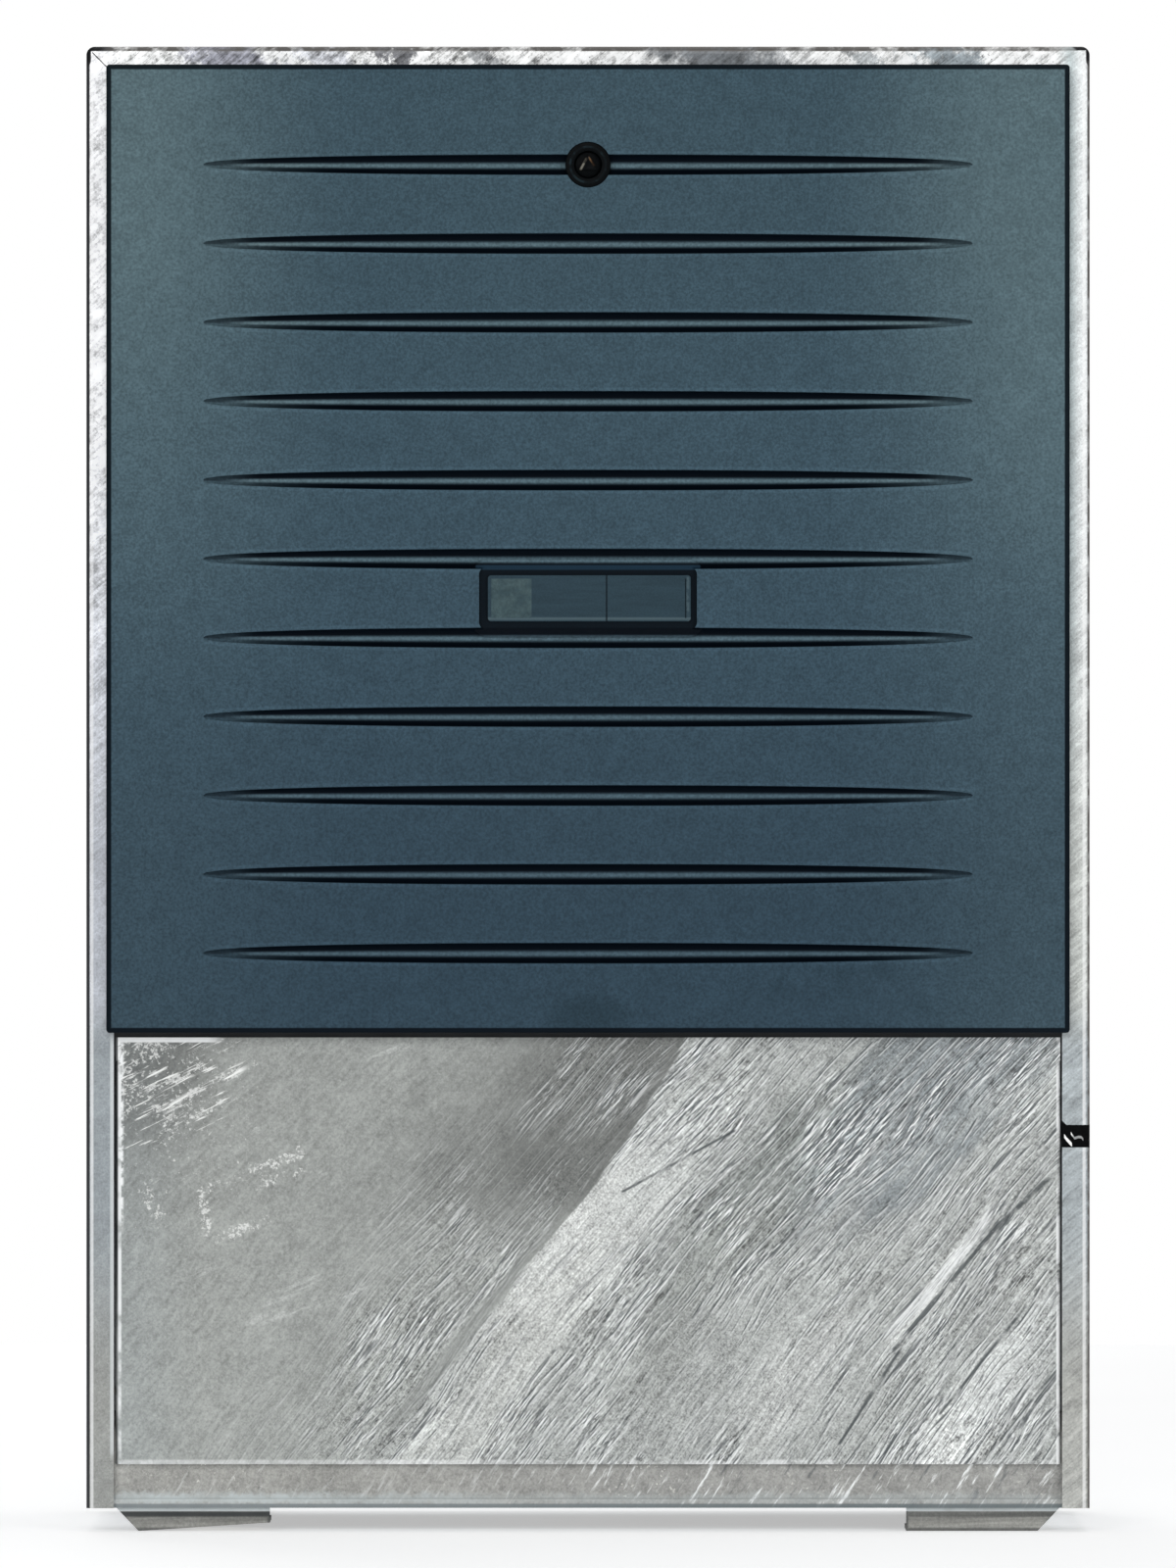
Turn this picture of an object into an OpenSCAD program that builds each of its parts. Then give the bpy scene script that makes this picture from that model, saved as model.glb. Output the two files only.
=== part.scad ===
// Cable distribution cabinet: a folded, hot-dip galvanised casing with a moulded drop-front door,
// a lift-off lower cover, and the busbars and fuse rails that it houses.
// The origin is on the ground, midway between the sides and between front and back.
// +Z is up, +X is to the right as seen from the front, and the door faces -Y. Sizes are in millimetres.

/* [Casing] */
// Width of the casing
casing_w = 600; // [580:1:660]
// Height of the casing above the feet
casing_h = 874; // [868:1:920]
// Depth of the casing, from the front flange to the back panel
casing_d = 230; // [225:1:260]
// Thickness of the sheet
sheet = 2; // [1.5:0.25:2]
// Outer radius of the casing's top corners
corner_r = 5; // [4:0.5:7]
// Outer radius of the fold along the front edge
bend_r = 3; // [2.5:0.25:3.5]
// Width of the front flange
flange_w = 16.5; // [15:0.5:18]

/* [Base] */
// Height of the feet below the casing
foot_h = 14; // [10:1:18]
// Length of a front foot along the front
foot_len = 92; // [70:1:120]
// Length of a rear foot along the back
rear_foot_len = 80; // [60:1:110]
// Rise of the bent foot's lower edge from its outer to its inner end
foot_bent_rise = 5; // [0:0.5:6]
// Height of the base rails
base_rail_h = 48; // [40:1:60]
// Diameter of the holes for the ground frame's bolts
base_hole_d = 11; // [9:0.5:13]
// Distance between the ground frame's bolts, front to back
base_hole_pitch = 100; // [80:5:110]

/* [Door] */
// Height of the door
door_h = 578; // [560:1:578]
// Casing edge that shows beside the door
door_side_gap = 12.5; // [11:0.5:13]
// Casing edge that shows above the door
door_top_gap = 11.5; // [11:0.5:13]
// How far the door stands proud of the casing
door_proud = 16; // [15:0.5:18]
// Thickness of the door's front wall
door_wall = 4; // [3:0.5:4]
// Radius of the door's front edges
door_edge_r = 2; // [1.5:0.5:4]

/* [Flutes] */
// Number of flutes across the door
flute_count = 11; // [5:1:11]
// Length of a flute
flute_len = 462; // [380:1:470]
// Width of a flute at its middle
flute_w = 11.6; // [8:0.2:14]
// Distance between flutes
flute_pitch = 47.05; // [46:0.05:48]
// Distance from the door's top edge to the first flute
flute_first = 59.9; // [55:0.1:60]
// Fullness of a flute's ends: 2 is an ellipse
flute_fullness = 2.3; // [2:0.1:3]

/* [Lock and label] */
// Diameter of the lock's head
lock_d = 27; // [24:0.2:28]
// Reach of the lock's cam from its axis
cam_reach = 63; // [62:0.5:65]
// Width of the label's recess
label_w = 130; // [110:1:140]
// Height of the label's recess
label_h = 37.5; // [30:0.5:38]

/* [Lower cover] */
// Clearance between the lower cover and the casing's flanges
cover_gap = 1.2; // [0.8:0.1:2]
// Height of the cover's lower edge above the casing's bottom edge
cover_drop = 26.4; // [22:0.2:30]

/* [Fuse gear] */
// Number of fuse rails
rail_count = 4; // [1:1:4]
// Distance between fuse rails
rail_pitch = 84; // [70:1:90]
// Width of a fuse rail
rail_w = 56; // [50:1:60]
// Distance between phases
phase_pitch = 100; // [96:1:104]
// Height of a busbar's section
bar_h = 30; // [24:1:30]
// Thickness of a busbar's section
bar_t = 5; // [4:0.5:6]

/* [Hidden] */
$fn = 64;
zinc = "#b4b8ba";
moulding = "#3c505d";
black_plastic = "#1d2022";
copper = "#b9744a";
silver = "#c9ccce";
insulator = "#8f3a2b";
ceramic = "#e6e2d6";
eps = 1;
screw_head = 2;
screw_d = 4.2;

// Planes of the casing, from front to back and from the ground up
door_y = -(casing_d + door_proud) / 2;
flange_y = door_y + door_proud;
rear_y = -door_y;
panel_y = rear_y - screw_head;
shell_rear_y = panel_y - sheet;
half_w = casing_w / 2;
inner_x = half_w - sheet;
opening_x = half_w - flange_w;
base_z = foot_h;
top_z = foot_h + casing_h;
rear_flange_w = 18;
bottom_flange_w = 38;
bottom_flange_y = [-66, 84];
base_hole_x = half_w - 21;
inner_fold = 3;

// The notch in the right flange, filled by a dark insert that carries the cover's clip
notch_z = base_z + 222.5;
notch_h = 13.5;
notch_d = 12;
notch_chamfer = 2.5;
insert_set_back = 1.2;
insert_lip = 3;
mitre_gap = 0.6;

// Base rails and feet
rail_front_y = flange_y + 6;
rail_leg = 31;
hem_h = 5.3;
hem_t = 1.2;
foot_t = 2.5;
foot_leg = 38;
foot_inset = 17.6;
foot_set_back = 2.5;
foot_chamfer = 13.4;

// Door and its hinge axis, which lies inside the door's bottom edge
door_top = top_z - door_top_gap;
door_bottom = door_top - door_h;
door_half = half_w - door_side_gap;
rim_y = flange_y - 1.5;
skirt = 3.5;
wall_y = door_y + door_wall;
hinge_y = flange_y - 6;
hinge_z = door_bottom + 5;
hinge_x = half_w - 38;
pin_d = 6;
pin_len = 24;
pin_clearance = 0.05;
lug_t = 5;
lug_r = 5;
lug_gap = 1;
boss_t = 5;
heel_r = 5.5;
rib_t = 3;
rib_x = opening_x - 4.5;
rib_back_y = flange_y + 8;
rib_low_z = door_bottom + 22;
rib_high_z = door_top - 12;
cam_gap = 50;
flute_lift = 0.5;
flute_wall = 3.5;

// Sill under the door, with the lower cover's top edge in front of it
sill_y = flange_y + sheet;
sill_x = half_w - bend_r;
sill_low = door_bottom - 16;
sill_high = door_bottom + 15.5;
sill_leg_top = 33;
sill_leg_low = 20;
cover_low = base_z + cover_drop;
cover_high = door_bottom - 3;
cover_x = opening_x - cover_gap;
cover_return = 12;
cover_fold = 2.5;

// Lock
lock_z = door_top - flute_first;
lock_boss_d = 33;
lock_boss_back = door_y + 11;
lock_body_d = 18;
lock_nut_t = 5;
lock_recess_d = 16.4;
lock_recess = 5;
spindle_d = 12;
spindle_clearance = 0.05;
spindle_square = 8;
cam_y = flange_y + sheet + 0.5;
cam_t = 3;
cam_w = 18;
key_side = 11;
collar_d = 15;
collar_t = 1.5;
collar_gap = 0.3;

// Label
label_z = lock_z - flute_pitch * 5.5;
label_depth = 3;
label_r = 4.5;
label_pad = 4;
label_plate_w = label_w - 9;
label_plate_h = label_h - 10;
label_shift = 0.8;
label_plate_t = 2;
label_card_w = 24;
label_divider_x = 10.3;

// Mounting uprights and busbars
upright_x = half_w - 65;
upright_w = 40;
upright_d = 20;
upright_y = shell_rear_y - upright_d;
upright_low = base_z + base_rail_h;
upright_high = top_z - 20;
slot_pitch = 60;
slot_h = 28;
slot_w = 9;
insulator_d = 31;
bar_y = upright_y - insulator_d - bar_t;
bar_len = 2 * upright_x + 50;
bar_bolt_d = 8;
bar_hole_d = 9;
bolt_hex_d = 15;
bolt_head = 5.5;
bolt_nut = 6.5;

// Fuse rails: three phase bays over a terminal bay
rail_back_y = bar_y;
rail_d = 70;
rail_front = rail_back_y - rail_d;
rail_back_t = 12;
rail_wall = 3;
rail_top = top_z - 58;
rail_terminal_h = 76;
rail_bottom = rail_top - 3 * phase_pitch - rail_terminal_h;
jaw_rise = 35.5;
jaw_h = 13;
jaw_base_t = 4;
jaw_cheek_t = 2.5;
blade_t = 6;
link_w = 30;
link_h = 53;
link_d = 46;
link_back = 14;
bar_rise = 18;

// Neutral bar and cable rail
neutral_z = rail_bottom - 75;
neutral_bolts = 8;
cable_rail_z = base_z + 136;
cable_rail_h = 40;
cable_rail_d = 20;

function bay_z(phase) = rail_top - phase_pitch * (phase - 0.5);
function bar_z(phase) = bay_z(phase) + bar_rise;
function rail_x(i) = (i - (rail_count + 1) / 2) * rail_pitch;
function flute_z(k) = lock_z - k * flute_pitch;

// Building blocks

// A flat outline drawn in X and Z, as thick as the stretch from y0 to y1
module slab_y(y0, y1) {
    translate([0, y1, 0]) rotate([90, 0, 0]) linear_extrude(y1 - y0) children();
}

// An outline drawn in Y and Z, carried along X from x0 to x1
module slab_x(x0, x1) {
    translate([x0, 0, 0]) rotate([90, 0, 90]) linear_extrude(x1 - x0) children();
}

// A cylinder along Y
module rod_y(d, y0, y1) {
    translate([0, y1, 0]) rotate([90, 0, 0]) cylinder(d = d, h = y1 - y0);
}

// A cylinder along X
module rod_x(d, x0, x1) {
    translate([x0, 0, 0]) rotate([0, 90, 0]) cylinder(d = d, h = x1 - x0);
}

module box(low, high) {
    translate(low) cube(high - low);
}

module both_sides() {
    children();
    mirror([1, 0, 0]) children();
}

module round_rect(w, h, r) {
    square([w - 2 * r, h], center = true);
    square([w, h - 2 * r], center = true);
    for (x = [-1, 1], z = [-1, 1])
        translate([x * (w / 2 - r), z * (h / 2 - r)]) circle(r);
}

// The casing's front outline, taken in by inset, with round top corners
module arch(inset, low = base_z) {
    w = casing_w - 2 * inset;
    high = top_z - inset;
    r = corner_r - inset;
    translate([-w / 2, low]) square([w, high - r - low]);
    translate([-w / 2 + r, low]) square([w - 2 * r, high - low]);
    for (x = [-1, 1])
        translate([x * (w / 2 - r), high - r]) circle(r);
}

// A quarter of a ring: the section of a fold in the sheet
module fold_section(r) {
    intersection() {
        difference() {
            circle(r);
            circle(r - sheet);
        }
        square(r + eps);
    }
}

// An angle of sheet with its outer corner at the origin
module angle_section(leg_y, leg_z, r) {
    translate([0, r]) square([sheet, leg_z - r]);
    translate([r, 0]) square([leg_y - r, sheet]);
    translate([r, r]) rotate(180) fold_section(r);
}

// A channel of sheet that is open towards +Y, with its web on the Z axis
module channel_section(web, leg_low, leg_high, r) {
    angle_section(leg_low, web / 2, r);
    translate([0, web]) mirror([0, 1]) angle_section(leg_high, web / 2, r);
}

// Casing

module casing_front_fold() {
    both_sides()
        translate([half_w - bend_r, flange_y + bend_r, base_z])
            linear_extrude(casing_h - corner_r) mirror([0, 1]) fold_section(bend_r);
    slab_x(-half_w + corner_r, half_w - corner_r)
        translate([flange_y + bend_r, top_z - bend_r]) mirror([1, 0]) fold_section(bend_r);
    both_sides()
        translate([half_w - corner_r, flange_y + bend_r, top_z - corner_r]) rotate([90, 0, 0])
            rotate_extrude(angle = 90) translate([corner_r - bend_r, 0]) fold_section(bend_r);
}

module casing_shell() {
    color(zinc) difference() {
        union() {
            slab_y(flange_y + bend_r, shell_rear_y) difference() {
                arch(0);
                arch(sheet, base_z - eps);
            }
            casing_front_fold();
            slab_y(flange_y, flange_y + sheet) difference() {
                arch(bend_r);
                translate([-opening_x, base_z - eps])
                    square([2 * opening_x, casing_h - flange_w + eps]);
            }
            slab_y(shell_rear_y - sheet, shell_rear_y) difference() {
                arch(sheet / 2);
                translate([-half_w + rear_flange_w, base_z - eps])
                    square([casing_w - 2 * rear_flange_w, casing_h - rear_flange_w + eps]);
            }
            both_sides()
                box([half_w - bottom_flange_w, bottom_flange_y[0], base_z],
                    [half_w - sheet / 2, bottom_flange_y[1], base_z + sheet]);
        }
        // Open mitre of the flange at the top left corner
        translate([-opening_x, flange_y - eps, top_z - flange_w]) rotate([0, 45, 0])
            box([-flange_w * sqrt(2) + 5, 0, -mitre_gap / 2], [2, sheet + 2 * eps, mitre_gap / 2]);
        slab_y(flange_y - eps, flange_y + notch_d) notch_outline(eps);
        screw_places() rod_y(screw_d, shell_rear_y - 2 * sheet, shell_rear_y + eps);
        for (x = [-1, 1], y = [-1, 1])
            translate([x * base_hole_x, y * base_hole_pitch / 2, base_z - eps])
                cylinder(d = base_hole_d, h = sheet + 2 * eps);
    }
}

// The notch seen from the front, with its upper inner corner cut off
module notch_outline(over) {
    translate([0, notch_z]) polygon([
        [opening_x - over, -notch_h / 2],
        [half_w + over, -notch_h / 2],
        [half_w + over, notch_h / 2],
        [opening_x + notch_chamfer, notch_h / 2],
        [opening_x, notch_h / 2 + notch_chamfer],
        [opening_x - over, notch_h / 2 + notch_chamfer]]);
}

// Heads of the screws that hold the back panel, along its sides, top and bottom
module screw_places() {
    for (x = [-1, 1], k = [0:4])
        translate([x * (half_w - 9), 0, base_z + 60 + k * (casing_h - 120) / 4]) children();
    for (x = [-1, 1])
        translate([x * half_w / 3, 0, top_z - 9]) children();
}

module back_panel() {
    color(zinc) difference() {
        slab_y(shell_rear_y, panel_y)
            translate([0, base_z + casing_h / 2]) round_rect(casing_w - 8, casing_h - 6, 3);
        screw_places() rod_y(screw_d, shell_rear_y - eps, panel_y + eps);
    }
}

// Pan-head screws through the panel and the casing's rear flange
module back_panel_screws() {
    color(silver) screw_places() {
        rod_y(screw_d, shell_rear_y - 8, panel_y + eps);
        rod_y(9, panel_y, rear_y);
    }
}

// Base

module base_rail(front) {
    color(zinc) slab_x(-inner_x, inner_x)
        translate([front ? rail_front_y : shell_rear_y - sheet, base_z]) mirror([front ? 0 : 1, 0]) {
            angle_section(rail_leg, base_rail_h, 4);
            if (front) translate([-hem_t, 0]) square([hem_t + sheet, hem_h]);
        }
}

// A foot on the left: an angle of sheet with its outer lower corner cut off
module foot_left(y, towards_back, length, rise) {
    x0 = -half_w + foot_inset;
    x1 = x0 + length;
    xc = x0 + foot_chamfer;
    web = [[x0, base_z], [xc, 0], [x1, rise], [x1, base_z]];
    sole = [[xc, 0], [x1, rise], [x1, rise + foot_t], [xc - foot_t * foot_chamfer / foot_h, foot_t]];
    color(zinc) translate([0, y, 0]) mirror([0, towards_back ? 0 : 1, 0]) {
        slab_y(0, foot_t) polygon(web);
        slab_y(0, foot_leg) polygon(sole);
    }
}

module foot_front_left() {
    foot_left(rail_front_y + foot_set_back, true, foot_len, foot_bent_rise);
}

module foot_front_right() {
    mirror([1, 0, 0]) foot_left(rail_front_y + foot_set_back, true, foot_len, 0);
}

module foot_rear_left() {
    foot_left(shell_rear_y - sheet - foot_set_back, false, rear_foot_len, 0);
}

module foot_rear_right() {
    mirror([1, 0, 0]) foot_rear_left();
}

// Sill and lower cover

module door_sill() {
    color(zinc) slab_x(-sill_x, sill_x) translate([sill_y, sill_low])
        channel_section(sill_high - sill_low, sill_leg_low, sill_leg_top, inner_fold);
}

module lower_cover() {
    tray_high = sill_low - eps;
    color(zinc) difference() {
        union() {
            translate([0, 0, cover_low]) linear_extrude(tray_high - cover_low) {
                translate([-cover_x, flange_y]) cover_side_plan();
                translate([cover_x, flange_y]) mirror([1, 0]) cover_side_plan();
                translate([-cover_x + cover_fold, flange_y]) square([2 * (cover_x - cover_fold), sheet]);
            }
            slab_y(flange_y, sill_y)
                translate([-cover_x, tray_high]) square([2 * cover_x, cover_high - tray_high]);
            box([-cover_x + cover_fold, flange_y, cover_low],
                [cover_x - cover_fold, rail_front_y, cover_low + sheet]);
        }
        // The returns are cut back where the base rail passes behind them
        box([-casing_w, rail_front_y, cover_low - eps], [casing_w, 0, base_z + base_rail_h + eps]);
    }
}

// The fold down the cover's left side, seen from above, with the return running back
module cover_side_plan() {
    translate([0, cover_fold]) square([sheet, cover_return - cover_fold]);
    translate([cover_fold, cover_fold]) rotate(180) fold_section(cover_fold);
}

// Dark moulded insert that fills the notch and is held by a lip behind the flange
module notch_insert() {
    color(black_plastic) {
        slab_y(flange_y + insert_set_back, flange_y + notch_d) notch_outline(0);
        translate([0, 0, notch_z])
            box([opening_x, flange_y + sheet, -notch_h / 2 - insert_lip],
                [half_w - bend_r, flange_y + notch_d, notch_h / 2 + insert_lip]);
    }
}

// A strip of the given height that follows a row of points in the front view
module strip(path, h) {
    last = len(path) - 1;
    upper = [for (k = [0:last]) path[k] + [0, h / 2]];
    lower = [for (k = [0:last]) path[last - k] - [0, h / 2]];
    polygon(concat(upper, lower));
}

// Bright spring strip on the insert: a straight tongue, and a waved end beside it
module cover_clip() {
    x0 = opening_x + 1.2;
    x1 = opening_x + 5.2;
    color(silver) translate([0, 0, notch_z]) slab_y(flange_y + 0.3, flange_y + insert_set_back) {
        strip([[x0, 0.2], [x0 + 1.4, -1.8], [x0 + 4.6, -5.2]], 2.4);
        strip([[x1, 1.8], [x1 + 2.2, -1.3], [x1 + 4.4, -0.5], [x1 + 6.2, -0.6], [x1 + 7.4, -2]], 1.5);
    }
}

// Door

// A long body of revolution about X, with an outline somewhat fuller than an ellipse
module spindle(len, d) {
    step = 10;
    power = 2 / flute_fullness;
    rotate([0, 90, 0]) rotate_extrude()
        polygon([for (t = [0:step:180])
            [d / 2 * pow(sin(t), power), -len / 2 * sign(cos(t)) * pow(abs(cos(t)), power)]]);
}

module flutes(extra) {
    for (k = [0:flute_count - 1])
        translate([0, door_y - flute_lift, flute_z(k)])
            spindle(flute_len + 2 * extra, flute_w + 2 * flute_lift + 2 * extra);
}

// The door's outer block, with round front edges
module door_block() {
    r = door_edge_r;
    mid_z = (door_top + door_bottom) / 2;
    edge_x = door_half - r;
    edge_z = door_h / 2 - r;
    translate([0, 0, mid_z]) {
        slab_y(door_y + r, rim_y) round_rect(2 * door_half, door_h, r);
        slab_y(door_y, door_y + r + eps) square([2 * edge_x, 2 * edge_z], center = true);
        for (s = [-1, 1]) {
            translate([s * edge_x, door_y + r, -edge_z]) cylinder(r = r, h = 2 * edge_z);
            translate([0, door_y + r, s * edge_z]) rod_x(2 * r, -edge_x, edge_x);
            for (t = [-1, 1])
                translate([s * edge_x, door_y + r, t * edge_z]) sphere(r);
        }
    }
}

module door_hollow() {
    mid_z = (door_top + door_bottom) / 2;
    translate([0, 0, mid_z]) slab_y(wall_y, rim_y + eps)
        square([2 * (door_half - skirt), door_h - 2 * skirt], center = true);
}

// Ribs that reach into the casing's opening and keep rain out
module door_ribs() {
    for (s = [-1, 1]) {
        box([s * rib_x - rib_t / 2, wall_y - eps, rib_low_z],
            [s * rib_x + rib_t / 2, rib_back_y, rib_high_z]);
        x0 = s > 0 ? cam_gap : -rib_x;
        box([x0, wall_y - eps, rib_high_z - rib_t], [x0 + rib_x - cam_gap, rib_back_y, rib_high_z]);
    }
}

// One of the two cheeks that carry a hinge pin
module hinge_cheek(x) {
    slab_x(x, x + boss_t) {
        translate([hinge_y, hinge_z]) circle(lug_r);
        translate([wall_y - eps, hinge_z - lug_r]) square([hinge_y - wall_y + eps, 2 * lug_r]);
        translate([wall_y - eps, hinge_z]) square([hinge_y - wall_y + eps + lug_r, 14]);
    }
}

module door_panel() {
    cheek_inner = lug_t / 2 + lug_gap;
    color(moulding) difference() {
        union() {
            difference() {
                union() {
                    difference() {
                        door_block();
                        door_hollow();
                    }
                    intersection() {
                        flutes(flute_wall);
                        box([-door_half, wall_y - 2, door_bottom], [door_half, rim_y, door_top]);
                    }
                }
                flutes(0);
            }
            translate([0, 0, lock_z]) rod_y(lock_boss_d, door_y + 6, lock_boss_back);
            translate([0, 0, label_z]) slab_y(wall_y - eps, wall_y + label_pad)
                round_rect(label_w + 2 * label_pad, label_h + 2 * label_pad, label_r + label_pad);
            door_ribs();
            both_sides() for (x = [hinge_x - cheek_inner - boss_t, hinge_x + cheek_inner])
                hinge_cheek(x);
        }
        translate([0, 0, lock_z]) {
            rod_y(lock_d + 0.4, door_y - eps, door_y + 2.6);
            rod_y(lock_body_d, door_y, lock_boss_back + eps);
        }
        translate([0, 0, label_z]) slab_y(door_y - eps, door_y + label_depth)
            round_rect(label_w, label_h, label_r);
        both_sides() {
            translate([0, hinge_y, hinge_z])
                rod_x(pin_d, hinge_x - pin_len / 2 - eps, hinge_x + pin_len / 2 + eps);
            // Room for the lug to swing out through the bottom skirt
            box([hinge_x - cheek_inner, wall_y, door_bottom - eps],
                [hinge_x + cheek_inner, rim_y + eps, hinge_z]);
        }
        // Round heel, so that the bottom edge clears the casing as the door swings
        slab_x(-casing_w, casing_w) difference() {
            translate([hinge_y, door_bottom - eps]) square([2 * heel_r, hinge_z - door_bottom + eps]);
            translate([hinge_y, hinge_z]) circle(heel_r);
        }
    }
}

module hinge_lug_right() {
    color(zinc) difference() {
        union() {
            slab_x(hinge_x - lug_t / 2, hinge_x + lug_t / 2) {
                translate([hinge_y, hinge_z]) circle(lug_r);
                translate([hinge_y, hinge_z - lug_r]) square([sill_y - hinge_y, 2 * lug_r]);
            }
            translate([hinge_x, 0, hinge_z + 2]) slab_y(sill_y - sheet, sill_y) round_rect(24, 14, 2);
        }
        translate([0, hinge_y, hinge_z])
            rod_x(pin_d + 2 * pin_clearance, hinge_x - lug_t, hinge_x + lug_t);
    }
}

module hinge_lug_left() {
    mirror([1, 0, 0]) hinge_lug_right();
}

module hinge_pin_right() {
    color(silver) translate([0, hinge_y, hinge_z])
        rod_x(pin_d, hinge_x - pin_len / 2, hinge_x + pin_len / 2);
}

module hinge_pin_left() {
    mirror([1, 0, 0]) hinge_pin_right();
}

// Label

module label_plate() {
    y0 = door_y + label_depth - label_plate_t;
    color(moulding) translate([label_shift, 0, label_z]) difference() {
        slab_y(y0, door_y + label_depth) round_rect(label_plate_w, label_plate_h, 2);
        // Seat of the card and the line between the two fields
        box([-label_plate_w / 2 + 2, y0 - eps, -label_plate_h / 2 + 2],
            [-label_plate_w / 2 + 2 + label_card_w, y0 + 0.8, label_plate_h / 2 - 2]);
        box([label_divider_x - 0.5, y0 - eps, -label_plate_h / 2 - eps],
            [label_divider_x + 0.5, y0 + 0.8, label_plate_h / 2 + eps]);
        box([label_plate_w / 2 - 3.4, y0 - eps, -label_plate_h / 2 + 2],
            [label_plate_w / 2 - 2.6, y0 + 0.8, label_plate_h / 2 - 2]);
    }
}

module label_card() {
    y0 = door_y + label_depth - label_plate_t;
    color("#5f747b") translate([label_shift - label_plate_w / 2 + 2 + label_card_w / 2, 0, label_z])
        slab_y(y0, y0 + 0.8) square([label_card_w, label_plate_h - 4], center = true);
}

// Lock

module lock_housing() {
    color(black_plastic) translate([0, 0, lock_z]) difference() {
        union() {
            rod_y(lock_d, door_y, door_y + 2.6);
            rod_y(lock_body_d, door_y + 2, lock_boss_back + lock_nut_t + 2);
        }
        rod_y(lock_recess_d, door_y - 2, door_y + lock_recess);
        rod_y(spindle_d + 2 * spindle_clearance, door_y, cam_y);
    }
}

module lock_nut() {
    color(silver) translate([0, 0, lock_z]) difference() {
        slab_y(lock_boss_back, lock_boss_back + lock_nut_t) circle(d = 28, $fn = 6);
        rod_y(lock_body_d, lock_boss_back - eps, lock_boss_back + lock_nut_t + eps);
    }
}

// Turning core: a three-sided key nose in front and a square for the cam behind
module lock_spindle() {
    color(black_plastic) translate([0, 0, lock_z]) {
        rod_y(spindle_d, door_y + lock_recess - collar_gap - eps, cam_y);
        rod_y(collar_d, door_y + lock_recess - collar_gap - collar_t, door_y + lock_recess - collar_gap);
        slab_y(door_y + 0.8, door_y + lock_recess - collar_gap - collar_t)
            rotate(90) circle(key_side / sqrt(3), $fn = 3);
        slab_y(cam_y, cam_y + cam_t) square(spindle_square, center = true);
    }
}

module lock_cam() {
    color(silver) translate([0, 0, lock_z]) slab_y(cam_y, cam_y + cam_t) difference() {
        union() {
            circle(d = cam_w + 4);
            translate([0, -cam_w / 2]) square([cam_reach - cam_w / 2, cam_w]);
            translate([cam_reach - cam_w / 2, 0]) circle(d = cam_w);
        }
        square(spindle_square, center = true);
    }
}

module cam_screw() {
    color(silver) translate([0, 0, lock_z]) rod_y(13, cam_y + cam_t, cam_y + cam_t + 4);
}

// Mounting uprights, supports and bars

module upright_right() {
    slots = floor((upright_high - upright_low - slot_h) / slot_pitch);
    color(zinc) difference() {
        translate([upright_x + upright_w / 2, upright_y, upright_low])
            linear_extrude(upright_high - upright_low)
                mirror([1, -1]) mirror([0, 1]) channel_section(upright_w, upright_d, upright_d, inner_fold);
        for (k = [0:slots - 1])
            translate([upright_x, 0, upright_low + slot_pitch * (k + 0.5)])
                slab_y(upright_y - eps, upright_y + sheet + eps)
                    round_rect(slot_w, slot_h, slot_w / 2 - 0.1);
    }
}

module upright_left() {
    mirror([1, 0, 0]) upright_right();
}

// A ribbed insulator that stands on an upright and carries bars at the given heights
module bar_support(heights) {
    shed = 3;
    color(insulator) for (z = heights)
        translate([upright_x, upright_y, z]) rotate([90, 0, 0]) {
            cylinder(d = 26, h = insulator_d);
            for (k = [0:2])
                translate([0, 0, 4 + k * 9]) cylinder(d = 36, h = shed);
        }
}

module busbar_support_right() {
    bar_support([for (p = [1:3]) bar_z(p)]);
}

module busbar_support_left() {
    mirror([1, 0, 0]) busbar_support_right();
}

module neutral_support_right() {
    bar_support([neutral_z]);
}

module neutral_support_left() {
    mirror([1, 0, 0]) neutral_support_right();
}

module bar(z) {
    box([-bar_len / 2, bar_y, z - bar_h / 2], [bar_len / 2, bar_y + bar_t, z + bar_h / 2]);
}

module busbar(phase) {
    color(copper) difference() {
        bar(bar_z(phase));
        for (i = [1:rail_count])
            translate([rail_x(i), 0, bar_z(phase)]) rod_y(bar_hole_d, bar_y - eps, bar_y + bar_t + eps);
    }
}

module neutral_bar() {
    color(copper) bar(neutral_z);
}

// Hex-head bolts with a washer, along the neutral bar
module neutral_bolts() {
    pitch = 2 * upright_x / neutral_bolts;
    color(silver) for (k = [0:neutral_bolts - 1])
        translate([(k - (neutral_bolts - 1) / 2) * pitch, bar_y, neutral_z]) rotate([90, 0, 0]) {
            cylinder(d = 20, h = 2);
            cylinder(d = 18, h = 8, $fn = 6);
        }
}

module cable_rail() {
    slots = 8;
    pitch = 2 * upright_x / slots;
    y0 = upright_y - cable_rail_d;
    color(zinc) difference() {
        slab_x(-upright_x - 20, upright_x + 20) translate([y0, cable_rail_z])
            channel_section(cable_rail_h, cable_rail_d, cable_rail_d, inner_fold);
        for (k = [0:slots - 1])
            translate([(k - (slots - 1) / 2) * pitch, 0, cable_rail_z + cable_rail_h / 2])
                slab_y(y0 - eps, y0 + sheet + eps) round_rect(36, 10, 4.9);
    }
}

// Fuse rails

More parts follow.
